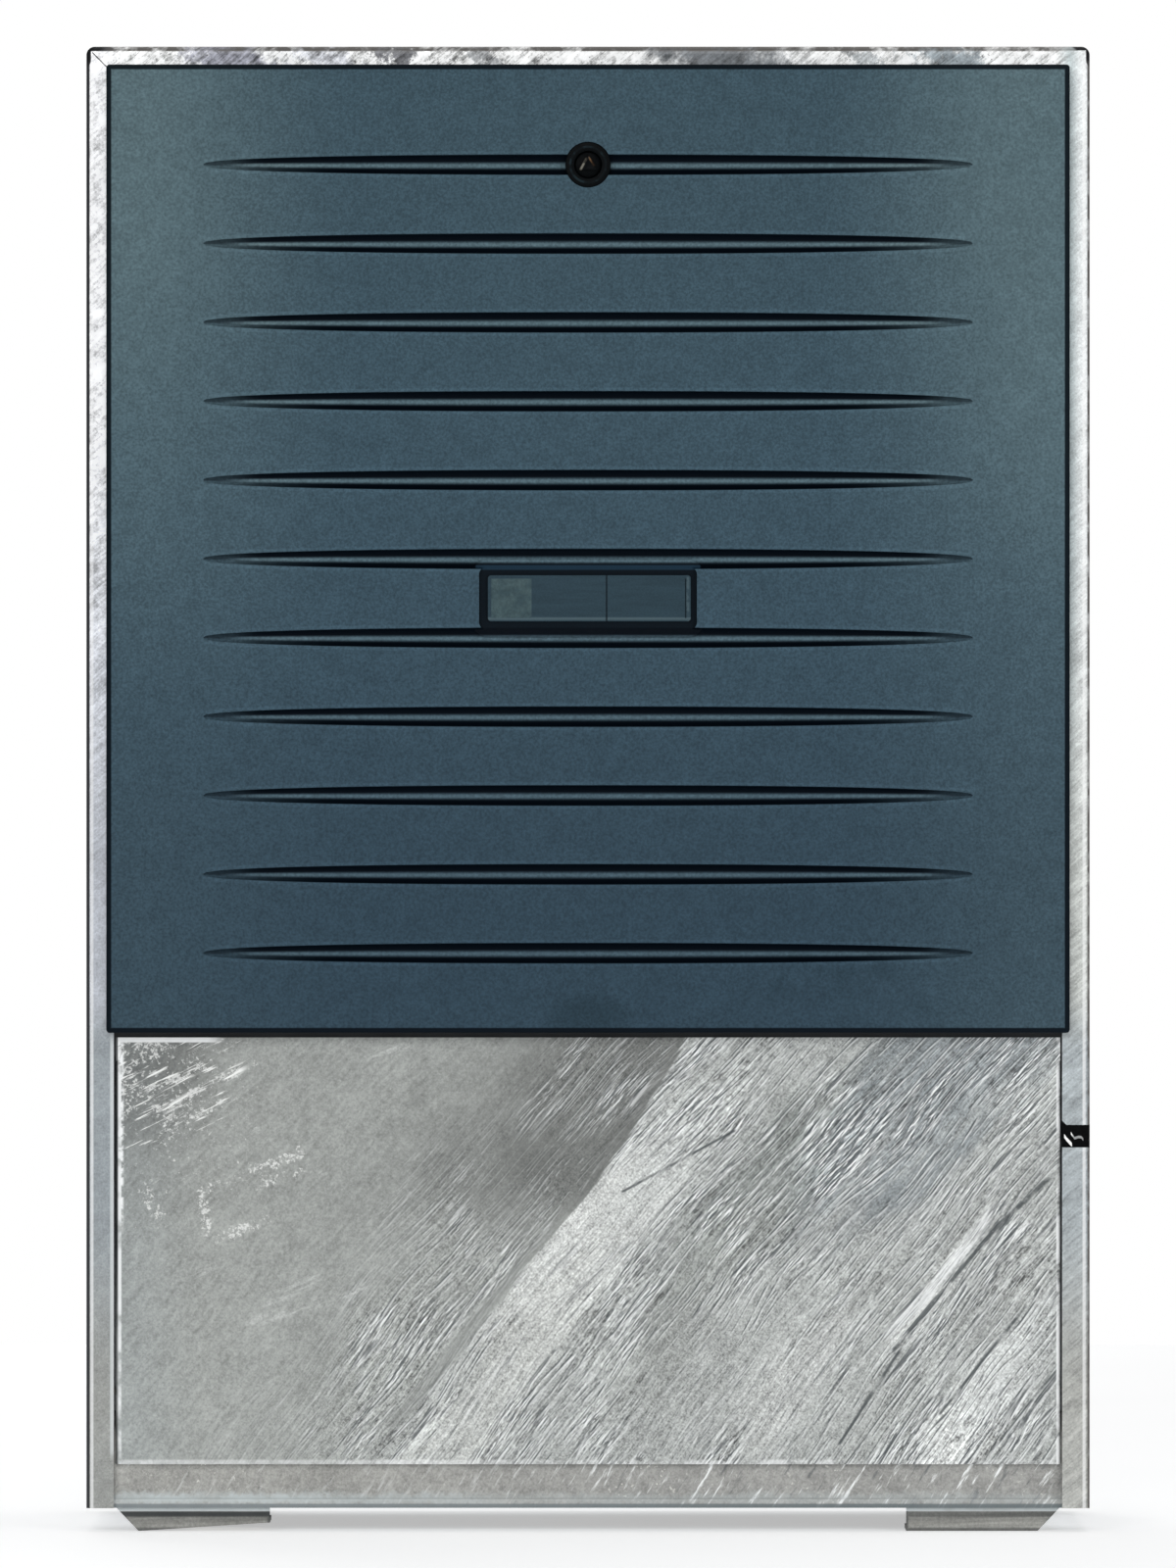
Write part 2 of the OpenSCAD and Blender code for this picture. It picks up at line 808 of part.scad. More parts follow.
module fuse_rail(i) {
    inner_w = rail_w - 2 * rail_wall;
    color(black_plastic) translate([rail_x(i), 0, 0]) difference() {
        box([-rail_w / 2, rail_front, rail_bottom], [rail_w / 2, rail_back_y, rail_top]);
        for (p = [1:3])
            box([-inner_w / 2, rail_front - eps, bay_z(p) - phase_pitch / 2 + rail_wall],
                [inner_w / 2, rail_back_y - rail_back_t, bay_z(p) + phase_pitch / 2 - rail_wall]);
        box([-inner_w / 2, rail_front - eps, rail_bottom - eps],
            [inner_w / 2, rail_back_y - rail_back_t, rail_bottom + rail_terminal_h - rail_wall]);
        // Side windows give each phase its open waist
        for (p = [1:3])
            slab_x(-rail_w, rail_w)
                translate([rail_front, bay_z(p)]) circle(d = 40);
        for (p = [1:3])
            translate([0, 0, bar_z(p)])
                rod_y(bar_hole_d, rail_back_y - rail_back_t - eps, rail_back_y + eps);
    }
}

// Spring jaws above and below each fuse link, and the strips that join them to bar and terminal
module rail_contacts(i) {
    y1 = rail_back_y - rail_back_t;
    y0 = y1 - jaw_base_t;
    jaw_front = y1 - 32;
    gap = blade_t / 2;
    color(silver) translate([rail_x(i), 0, 0]) {
        for (p = [1:3]) {
            difference() {
                box([-10, y0, bay_z(p) + 8], [10, y1, bay_z(p) + jaw_rise + jaw_h / 2]);
                translate([0, 0, bar_z(p)]) rod_y(bar_hole_d, y0 - eps, y1 + eps);
            }
            box([-10, y0, bay_z(p) - jaw_rise - jaw_h / 2], [10, y1, bay_z(p) - 20]);
            for (s = [-1, 1], x = [-1, 1]) {
                x0 = x > 0 ? gap : -gap - jaw_cheek_t;
                z0 = bay_z(p) + s * jaw_rise - jaw_h / 2;
                box([x0, jaw_front, z0], [x0 + jaw_cheek_t, y0, z0 + jaw_h]);
            }
        }
        for (p = [1:3])
            box([(p - 2) * 15 - 6, y0 - 6, rail_bottom + 8], [(p - 2) * 15 + 6, y1, rail_bottom + 44]);
    }
}

// Hex bolts that clamp each rail's upper contacts to the busbars, with a nut behind the bar
module rail_bolts() {
    head_y = rail_back_y - rail_back_t - jaw_base_t;
    nut_y = bar_y + bar_t;
    color(silver) for (i = [1:rail_count], p = [1:3])
        translate([rail_x(i), 0, bar_z(p)]) {
            rod_y(bar_bolt_d, head_y - eps, nut_y + bolt_nut + 2);
            slab_y(head_y - bolt_head, head_y) circle(d = bolt_hex_d, $fn = 6);
            slab_y(nut_y, nut_y + bolt_nut) circle(d = bolt_hex_d, $fn = 6);
        }
}

// A blade fuse: a square ceramic body between two end plates, with blades and grip lugs
module fuse_link(i, p) {
    y1 = rail_back_y - rail_back_t - link_back;
    y0 = y1 - link_d;
    plate = 1.5;
    lug = 7;
    color(ceramic) translate([rail_x(i), 0, bay_z(p)]) {
        translate([0, (y0 + y1) / 2, -link_h / 2]) linear_extrude(link_h) round_rect(link_w, link_d, 4);
        for (s = [-1, 1]) {
            translate([0, (y0 + y1) / 2, s * (link_h + plate) / 2])
                cube([link_w + 1, link_d + 1, plate], center = true);
            z1 = s > 0 ? link_h / 2 : -link_h / 2 - plate;
            box([-7, y0 - lug, z1], [7, y0, z1 + plate]);
            z0 = s > 0 ? link_h / 2 : -link_h / 2 - 13;
            box([-blade_t / 2, y1 - 20, z0], [blade_t / 2, y1 - 2, z0 + 13]);
        }
    }
}

casing_shell();
back_panel();
back_panel_screws();
base_rail(true);  // base_rail_front
base_rail(false);  // base_rail_rear
foot_front_left();
foot_front_right();
foot_rear_left();
foot_rear_right();
door_sill();
hinge_lug_left();
hinge_lug_right();
lower_cover();
notch_insert();
cover_clip();
upright_left();
upright_right();
busbar_support_left();
busbar_support_right();
neutral_support_left();
neutral_support_right();
neutral_bar();
neutral_bolts();
cable_rail();
for (p = [1:3])
    busbar(p);
rail_bolts();
door_panel();
hinge_pin_left();
hinge_pin_right();
label_plate();
label_card();
lock_housing();
lock_nut();
lock_spindle();
lock_cam();
cam_screw();
for (i = [1:rail_count])
    fuse_rail(i);
for (i = [1:rail_count])
    rail_contacts(i);
for (i = [1:rail_count], p = [1:3])
    fuse_link(i, p);
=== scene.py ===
"""Looks, small fasteners and stage of a galvanised cable distribution cabinet, laid out as an add-on."""

import math

import bpy
from bpy.props import FloatProperty, FloatVectorProperty, IntProperty, PointerProperty
from bpy.types import Operator, Panel, PropertyGroup
from mathutils import Matrix, Vector


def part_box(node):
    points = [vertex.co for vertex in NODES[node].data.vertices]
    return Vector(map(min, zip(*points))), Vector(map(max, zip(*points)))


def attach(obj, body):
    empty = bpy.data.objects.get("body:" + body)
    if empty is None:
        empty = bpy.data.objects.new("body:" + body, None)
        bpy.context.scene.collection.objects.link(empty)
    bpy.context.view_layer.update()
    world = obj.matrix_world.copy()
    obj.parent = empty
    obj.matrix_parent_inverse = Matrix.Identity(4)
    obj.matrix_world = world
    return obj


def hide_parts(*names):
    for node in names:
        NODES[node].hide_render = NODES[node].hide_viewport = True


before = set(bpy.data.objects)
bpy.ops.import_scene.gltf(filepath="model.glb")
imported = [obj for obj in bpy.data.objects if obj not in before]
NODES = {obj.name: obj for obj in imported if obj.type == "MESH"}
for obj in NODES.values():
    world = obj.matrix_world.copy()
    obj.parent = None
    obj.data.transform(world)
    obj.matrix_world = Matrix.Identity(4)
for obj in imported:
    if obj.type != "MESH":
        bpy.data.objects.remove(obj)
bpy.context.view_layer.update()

bl_info = {
    "name": "Cable distribution cabinet",
    "version": (1, 0, 0),
    "blender": (4, 5, 0),
    "location": "View3D > Sidebar > Cabinet",
    "description": "Finishes a galvanised cabinet with a fluted door, its fuse gear, fasteners and studio",
    "category": "Object",
}

MM = 0.001
DOOR_LOW, DOOR_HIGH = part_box("door_panel")
COVER_LOW, COVER_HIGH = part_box("lower_cover")
CASING_LOW, CASING_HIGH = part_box("casing_shell")
LABEL_LOW, LABEL_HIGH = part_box("label_plate")
LOCK_LOW, LOCK_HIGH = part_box("lock_housing")
DOOR_Z = (DOOR_LOW.z + DOOR_HIGH.z) / 2
LABEL_Z = (LABEL_LOW.z + LABEL_HIGH.z) / 2
LOCK_Z = (LOCK_LOW.z + LOCK_HIGH.z) / 2

# The picture: size of a pixel at the casing's front, number of rows, and the row of the ground
PIXEL = 0.5859 * MM
PICTURE_ROWS = 1600
GROUND_ROW = 1563

# Lighter and darker places in the cover's runs: x, z, half length, half width (mm), colour, strength
RUN_PATCHES = (
    (4, 180, 105, 30, (205, 207, 205), 0.9), (50, 224, 75, 14, (196, 199, 197), 0.7),
    (-50, 94, 110, 30, (194, 196, 193), 0.7), (115, 212, 120, 36, (126, 131, 128), 0.85),
    (212, 268, 130, 52, (128, 135, 138), 0.85), (66, 142, 100, 22, (152, 155, 152), 0.6),
    (212, 152, 60, 10, (216, 218, 216), 0.6), (226, 66, 75, 20, (230, 232, 230), 0.85),
    (117, 90, 60, 20, (200, 202, 200), 0.7), (262, 110, 90, 18, (194, 197, 196), 0.7))
# Places where the runs are calm: x, z, half length, half width (mm)
CALM_PATCHES = ((4, 176, 100, 26), (-50, 96, 100, 20), (120, 92, 75, 40), (55, 78, 60, 38))
# Streaks of the runs: number to the metre across and along, seed, detail, strength
RUN_STREAKS = ((75, 4, 3, 2, 0.9), (250, 13, 11, 3, 1.5), (620, 52, 23, 2, 1.3), (1150, 140, 27, 1, 1.2))
# Hairlines of the runs: number to the metre across and along, seed, width, rarity
RUN_HAIRLINES = ((40, 2, 31, 0.0075, 0.47), (105, 4.5, 33, 0.017, 0.48), (190, 9, 35, 0.028, 0.50))

# Straight marks on the cover: x and z of both ends, width (mm); the flank highlights and crevice shadows are
# painted light and shade
FLANK_HIGHLIGHTS = ((196, 132, 240, 190, 5), (178, 118, 196, 136, 3))
CREVICE_SHADOWS = ((182, 108, 244, 182, 2), (240, 178, 276, 212, 2.4), (150, 52, 186, 108, 1.4),
            (210, 70, 262, 135, 1.3), (20, 203, 88, 240, 1.2))
FLECKED_MARKS = ((-262, 250, -196, 282, 5), (-266, 262, -226, 280, 5), (-256, 240, -214, 258, 5),
                 (-230, 203, -168, 228, 6.5), (-231, 206, -227, 174, 6), (-227, 173, -188, 188, 6),
                 (-206, 206, -168, 217, 6), (-268, 208, -254, 184, 7))
FLAKED_STROKES = ((-252, 252, -206, 278, 4), (-262, 262, -236, 274, 3))
RUBBED_MARKS = ((-205, 124, -130, 146, 5), (-196, 136, -160, 152, 6), (-245, 148, -222, 160, 5),
                (-135, 283, -108, 291, 4), (-212, 252, -190, 234, 2.5), (-168, 220, -146, 206, 2.5))

# Smudges along the casing's top flange: x, half length (mm), colour
TOP_SMUDGES = ((-212, 28, (150, 151, 163)), (-158, 20, (196, 198, 204)), (-113, 12, (96, 97, 102)),
               (-60, 10, (170, 172, 174)), (82, 52, (96, 101, 106)), (168, 8, (176, 180, 182)),
               (218, 22, (146, 156, 162)))


def seen(red, green, blue):
    """A colour given as it is seen on a screen, 0 to 255, as linear light."""
    def linear(part):
        part /= 255
        return part / 12.92 if part <= 0.04045 else ((part + 0.055) / 1.055) ** 2.4
    return linear(red), linear(green), linear(blue)


def colour_prop(name, words, default):
    return FloatVectorProperty(name=name, description=words, subtype="COLOR", size=3, min=0, max=1,
                               default=default)


def length_prop(name, words, default):
    return FloatProperty(name=name, description=words, subtype="DISTANCE", unit="LENGTH", min=0,
                         default=default)


class CabinetColours(PropertyGroup):
    """Colours that a user would change."""
    door_top: colour_prop("Door, upper part", "Moulded door near its top edge", seen(63, 84, 95))
    door_low: colour_prop("Door, lower part", "Moulded door near its bottom edge", seen(50, 69, 82))
    # Painted light: lighter tone near the door's sides and upper corners
    door_side_light: colour_prop("Door, sides", "Moulded door near its side edges", seen(94, 115, 121))
    # Painted shade, used on the flute walls, in the label's pocket and in the line round the door's edge
    painted_shade: colour_prop("Flute walls", "Steep walls of the door's flutes", seen(1, 8, 17))
    # Bright zinc, also the painted highlights on the cover's ridges, hairlines and edges
    zinc_bright_and_highlight: colour_prop("Zinc, bright", "Bright runs in the zinc", seen(238, 240, 240))
    zinc_run: colour_prop("Zinc, runs", "Ridged runs in the zinc", seen(168, 171, 169))
    zinc_grey: colour_prop("Zinc, grey", "Smooth matte zinc", seen(153, 156, 153))
    # Dark zinc lines, also the painted shade on the cover's ridges
    zinc_dark_and_shade: colour_prop("Zinc, dark", "Dark lines between the runs", seen(88, 93, 96))
    foot: colour_prop("Feet", "Weathered zinc of the feet", seen(128, 128, 124))
    lock: colour_prop("Lock", "Black lock", seen(4, 7, 9))
    copper: colour_prop("Copper", "Bare busbars", (0.62, 0.30, 0.17))
    ceramic: colour_prop("Ceramic", "Bodies of the fuse links", (0.72, 0.69, 0.60))
    resin: colour_prop("Resin", "Cast insulators", (0.20, 0.035, 0.022))
    rail: colour_prop("Fuse rails", "Dark moulding of the fuse rails", (0.030, 0.032, 0.035))


class CabinetSizes(PropertyGroup):
    """Sizes of the door's flutes, which its shading follows."""
    flute_pitch: length_prop("Flute pitch", "Distance between flutes", 47.05 * MM)
    flute_first: length_prop("First flute", "Drop of the first flute below the door's top edge", 59.9 * MM)
    flute_length: length_prop("Flute length", "Length of a flute", 462 * MM)
    flute_width: length_prop("Flute width", "Width of a flute at its middle", 11.6 * MM)
    flute_count: IntProperty(name="Flutes", description="Number of flutes", default=11, min=1)
    flute_fullness: FloatProperty(name="Flute fullness", description="2 gives an ellipse", min=1, default=2.3)


class CabinetStage(PropertyGroup):
    """Camera and light of the studio."""
    camera_distance: length_prop("Camera distance", "From the camera to the casing's front", 8.0)
    frame_height: length_prop("Frame height", "Height of the picture at the casing's front",
                              PICTURE_ROWS * PIXEL)
    key_power: FloatProperty(name="Key light", description="Power of the front light", unit="POWER",
                             default=95)
    fill_power: FloatProperty(name="Fill light", description="Power of the upper light", unit="POWER",
                              default=40)
    ambient: FloatProperty(name="Ambient", description="Strength of the light from all round", min=0,
                           default=0.22)


def colours():
    return bpy.context.scene.cabinet_colours


# Materials


class Field:
    """A value that varies over a surface. Arithmetic adds nodes; | takes the larger and & the smaller."""

    def __init__(self, look, socket):
        self.look = look
        self.socket = socket

    def __add__(self, other):
        return self.look.sums("ADD", self, other)

    def __sub__(self, other):
        return self.look.sums("SUBTRACT", self, other)

    def __rsub__(self, other):
        return self.look.sums("SUBTRACT", other, self)

    def __mul__(self, other):
        return self.look.sums("MULTIPLY", self, other)

    def __truediv__(self, number):
        return self.look.sums("MULTIPLY", self, 1 / number)

    def __pow__(self, power):
        return self.look.sums("POWER", self, power)

    def __or__(self, other):
        return self.look.sums("MAXIMUM", self, other)

    def __and__(self, other):
        return self.look.sums("MINIMUM", self, other)

    def __abs__(self):
        return self.look.sums("ABSOLUTE", self)

    __radd__ = __add__

    def step(self, low, high, at_low=0.0, at_high=1.0):
        """Eases from at_low to at_high while the field goes from low to high."""
        if low > high:
            low, high, at_low, at_high = high, low, at_high, at_low
        node = self.look.node("MapRange", self, low, high, at_low, at_high, interpolation_type="SMOOTHSTEP")
        return Field(self.look, node.outputs[0])


class Look:
    """Builds one procedural material from nodes that read the object's own coordinates."""

    def __init__(self, name):
        self.material = bpy.data.materials.new(name)
        self.material.use_nodes = True
        self.tree = self.material.node_tree
        self.tree.nodes.clear()
        self.shader = self.node("BsdfPrincipled")
        self.tree.links.new(self.shader.outputs["BSDF"], self.node("OutputMaterial").inputs["Surface"])
        self.place = Field(self, self.node("TexCoord").outputs["Object"])
        self.x, self.y, self.z = (Field(self, part) for part in self.node("SeparateXYZ", self.place).outputs)
        self.colour = None

    def node(self, kind, *values, **settings):
        """Adds a node with its settings and the values of its first inputs."""
        node = self.tree.nodes.new("ShaderNode" + kind)
        for name, value in settings.items():
            setattr(node, name, value)
        for socket, value in zip(node.inputs, values):
            self.put(socket, value)
        return node

    def put(self, socket, value):
        if isinstance(value, Field):
            self.tree.links.new(value.socket, socket)
        elif socket.type == "RGBA":
            socket.default_value = (*value, 1)
        else:
            socket.default_value = value

    def sums(self, operation, *values):
        return Field(self, self.node("Math", *values, operation=operation).outputs[0])

    def along(self, direction, source=None):
        """Distance along a direction."""
        node = self.node("VectorMath", source or self.place, direction, operation="DOT_PRODUCT")
        return Field(self, node.outputs["Value"])

    def past(self, x, z, across, down):
        """Distance to the lower right of a slanting line through a point of the front."""
        return self.along((across, 0, -down)) - (x * across - z * down)

    def length(self, source):
        return Field(self, self.node("VectorMath", source, operation="LENGTH").outputs["Value"])

    def point(self, x, y, z):
        return Field(self, self.node("CombineXYZ", x, y, z).outputs[0])

    def noise(self, scale, detail=3.0, rough=0.55, source=None, warp=0.0):
        node = self.node("TexNoise", source or self.place)
        node.inputs["Scale"].default_value = scale
        node.inputs["Detail"].default_value = detail
        node.inputs["Roughness"].default_value = rough
        node.inputs["Distortion"].default_value = warp
        return Field(self, node.outputs["Fac"])

    def cells(self, scale, output="Distance"):
        node = self.node("TexVoronoi", self.place)
        node.inputs["Scale"].default_value = scale
        return Field(self, node.outputs[output])

    def mix(self, factor, first, second, blend="MIX"):
        """One colour where the factor is 0, the other where it is 1."""
        node = self.node("Mix", factor, data_type="RGBA", blend_type=blend)
        for socket, value in zip((s for s in node.inputs if s.type == "RGBA"), (first, second)):
            self.put(socket, value)
        return Field(self, next(s for s in node.outputs if s.type == "RGBA"))

    def shaded(self, colour, factor):
        """A colour made lighter or darker by a factor near 1."""
        node = self.node("VectorMath", colour, operation="SCALE")
        self.put(node.inputs["Scale"], factor)
        return Field(self, node.outputs[0])

    def varied(self, colour, *fields):
        """A colour made lighter and darker by fields that lie round 0.5, each with its strength."""
        factor = 1.0
        for field, strength in fields:
            factor = factor + (field - 0.5) * strength
        return self.shaded(colour, factor | 0.15)

    def paint(self, mask, tone):
        """Lays a tone over the look's colour where the mask is 1."""
        self.colour = self.mix(mask, self.colour, tone)

    def shade(self, factor):
        self.colour = self.shaded(self.colour, factor)

    def vary(self, *fields):
        self.colour = self.varied(self.colour, *fields)

    def streaks(self, angle, fine, long, wobble):
        """Long thin streaks across the front, slanting by angle: values round 0.5."""
        lean = math.radians(angle)
        drift = (self.noise(9, 2) - 0.5) * wobble
        across = self.along((-math.sin(lean), 0.35, math.cos(lean))) + drift
        down = self.along((math.cos(lean), 0.2, math.sin(lean)))
        return self.noise(1, 4, 0.62, self.point(across * fine, down * long, self.y * 3))

    def scratch(self, x0, z0, x1, z1, width):
        """A thin straight mark between two points of the front, given in millimetres."""
        start = Vector((x0, z0)) * MM
        run = Vector((x1, z1)) * MM - start
        width *= MM
        half = run.length / 2
        run.normalize()
        down = self.along((run.x, 0, run.y)) - (run.dot(start) + half)
        across = self.along((-run.y, 0, run.x)) - (run.x * start.y - run.y * start.x)
        return abs(across).step(width, width * 0.25) * abs(down).step(half + width, half - width)

    def scratches(self, rows):
        return strongest([self.scratch(*row) for row in rows])

    def nibs(self, spread, low, high):
        """Small grains that stand in loose groups."""
        return self.noise(420, 2).step(0.66, 0.72) * self.noise(spread, 2).step(low, high)

    def bump(self, height, depth, strength):
        node = self.node("Bump")
        node.inputs["Strength"].default_value = strength
        node.inputs["Distance"].default_value = depth
        self.put(node.inputs["Height"], height)
        return Field(self, node.outputs["Normal"])

    def finish(self, roughness, metallic, normal=None, **plain):
        """Joins colour, roughness and normal to the shader; plain values go on the sockets that they name."""
        self.put(self.shader.inputs["Base Color"], self.colour)
        self.put(self.shader.inputs["Roughness"], roughness)
        self.shader.inputs["Metallic"].default_value = metallic
        for name, value in plain.items():
            self.shader.inputs[name.replace("_", " ")].default_value = value
        if normal is not None:
            self.put(self.shader.inputs["Normal"], normal)
        return self.material


def strongest(masks):
    total = masks[0]
    for mask in masks[1:]:
        total = total | mask
    return total


class Runs:
    """Slanting runs in the zinc, which fan out: place along and across them, streaks, ridges and patches."""

    def __init__(self, look, angle, fan, level, wobble, front):
        self.look, self.fan, self.level = look, fan, level
        self.cos, self.sin = math.cos(math.radians(angle)), math.sin(math.radians(angle))
        drift = (look.noise(9, 1.2) - 0.5) * wobble
        lift = look.z - level
        depth = look.y - front
        self.across = look.along((-self.sin, 0, self.cos)) + lift * lift * fan + (drift + depth * 0.4)
        self.down = look.along((self.cos, 0, self.sin)) + depth * 0.3
        self.ragged = (self.field(70, 16, 50) - 0.5) * 2.6

    def field(self, fine, long, seed, shift=0.0, detail=4.0):
        """Streaks, so many to the metre across and along the runs: values round 0.5."""
        across = self.across + shift if shift else self.across
        return self.look.noise(1, detail, 0.66, self.look.point(across * fine, self.down * long, seed))

    def ridges(self, fine, long, seed, gap):
        """Difference of the streaks across a gap: above 0 on one flank of a ridge, below 0 on the other."""
        return self.field(fine, long, seed, gap / 2, 2) - self.field(fine, long, seed, -gap / 2, 2)

    def lines(self, fine, long, seed, width, shift=0.0):
        """Thin long lines along the runs, left out where the field is too flat to draw them sharply."""
        reach = 0.25 / fine
        here, above, below = (self.field(fine, long, seed, shift + way, 1) for way in (0.0, reach, -reach))
        return abs(here - 0.5).step(width, width * 0.3) * abs(above - below).step(0.05, 0.11)

    def patch(self, x, z, half_down, half_across):
        """A ragged, soft oval that lies along the runs, given in millimetres."""
        x, z = x * MM, z * MM
        down = self.cos * x + self.sin * z
        across = -self.sin * x + self.cos * z + self.fan * (z - self.level) ** 2
        first = (self.down - down) / (half_down * MM)
        second = (self.across - across) / (half_across * MM)
        return (first * first + second * second + self.ragged).step(1.25, 0.05)


def moulded_door():
    """Grained blue-grey plastic: painted shade on the flute walls with a painted lit band between them,
    painted lighter sides and upper corners, dark patches at the bottom.
    """
    c, s = colours(), bpy.context.scene.cabinet_sizes
    look = Look("moulded_door")
    x, y, z = look.x, look.y, look.z
    face = DOOR_LOW.y
    look.colour = look.mix(z.step(DOOR_LOW.z, DOOR_HIGH.z), c.door_low, c.door_top)
    # Painted light: the door is lighter towards its sides, most near its upper corners
    side = abs(x).step(130 * MM, DOOR_HIGH.x, 0.0, 0.95)
    fade = z.step(DOOR_LOW.z + 170 * MM, DOOR_HIGH.z - 40 * MM, 0.12, 0.95)
    fade = fade + x.step(0.0, DOOR_HIGH.x, 0.0, 0.12)
    look.paint(side * fade * look.noise(7, 2).step(0.25, 0.7, 0.75, 1.0), c.door_side_light)
    grain = look.noise(620, 3, 0.7)
    look.shade(abs(z - 0.58).step(0.24, 0.02, 1.0, 1.10))
    look.shade(look.noise(95, 4, 0.6).step(0.25, 0.75, 0.93, 1.07))
    look.shade(grain.step(0.28, 0.72, 0.74, 1.27))

    # Faint dark patch at the middle of the bottom edge, and a mottled darker patch to the right of it
    spread = (abs(x) / 0.027) ** 2 + (abs(z - (DOOR_LOW.z + 9 * MM)) / 0.016) ** 2
    dark_patch = spread.step(1.3, 0.1, 0.0, 0.40)
    mottled_patch = abs(x - 0.135).step(0.075, 0.02) * abs(z - 0.333).step(0.024, 0.006)
    mottled_patch = mottled_patch * look.noise(55).step(0.5, 0.66, 0.0, 0.32)
    look.paint(dark_patch | mottled_patch, seen(28, 44, 52))

    # Flutes: place across a flute, from -1 at its lower to 1 at its upper edge
    turn = (z - (DOOR_HIGH.z - s.flute_first)) / s.flute_pitch
    nearest = (look.sums("ROUND", turn) | (1 - s.flute_count)) & 0.0
    across = (turn - nearest) * s.flute_pitch
    reach = (abs(x) * (2 / s.flute_length)) ** s.flute_fullness
    half = ((1 - reach) | 1e-5) ** (1 / s.flute_fullness)
    half_width = half * (s.flute_width / 2)
    place = look.sums("DIVIDE", across, half_width | 1e-5)
    sunk = y.step(face + 0.02 * MM, face + 0.3 * MM)
    deep = (half * (s.flute_width / 2 + 0.5 * MM) - 0.4 * MM) | (3.6 * MM)
    outside = (y - deep).step(face + 0.3 * MM, face)
    inside = abs(place).step(1.08, 1.0) * (sunk * outside)
    # Painted shade on each flute's steep upper and lower walls and at its tips, and a painted lit band along
    # its floor between them
    full = half.step(0.36, 0.60)
    offset = place + 0.08
    upper = offset.step(0.04, 0.50) * half.step(0.20, 0.65, 0.60, 1.0)
    lower = offset.step(-0.06, -0.50) * half.step(0.35, 0.85, 0.35, 1.0)
    tip = place.step(-0.7, 0.1) * 0.7
    shaded_wall = (upper + lower) * full + tip * (1 - full)
    lit_band_tone = look.mix(1.0, look.colour, (2.3, 2.05, 1.85), "MULTIPLY")
    look.paint(inside * (1 - shaded_wall), look.mix(half.step(0.35, 0.75), look.colour, lit_band_tone))
    look.paint(inside * shaded_wall, c.painted_shade)
    # A painted highlight along the lip round each flute
    lip_highlight = abs(abs(across) - half_width - 1.4 * MM).step(1.3 * MM, 0.5 * MM) * half.step(0.12, 0.35)
    look.paint(lip_highlight * (1 - sunk), look.shaded(look.colour, 1.17))

    # Painted shade in the label's pocket, bluer along its upper wall, and the painted line of shadow round
    # the door's edge
    pocket_shade = abs(x).step(67.5 * MM, 66.5 * MM) * abs(z - LABEL_Z).step(20.2 * MM, 19.5 * MM)
    pocket_shade = pocket_shade * y.step(face + 0.2 * MM, face + 0.8 * MM) * y.step(face + 6.4 * MM, face + 6.1 * MM)
    upper_wall = (z - LABEL_Z).step(16.6 * MM, 17.6 * MM)
    look.paint(pocket_shade * 0.95, look.mix(upper_wall, c.painted_shade, seen(26, 48, 64)))
    half_height = (DOOR_HIGH.z - DOOR_LOW.z) / 2
    edge = abs(x).step(DOOR_HIGH.x - 3.5 * MM, DOOR_HIGH.x - 2.6 * MM)
    edge = edge | abs(z - DOOR_Z).step(half_height - 3.5 * MM, half_height - 2.6 * MM)
    look.paint(edge * y.step(face + 3.5 * MM, face + 2.0 * MM) * 0.95, c.painted_shade)
    normal = look.bump(grain, 0.10 * MM, 0.5)
    return look.finish(grain.step(0.2, 0.8, 0.52, 0.68), 0.0, normal, Specular_IOR_Level=0.06)


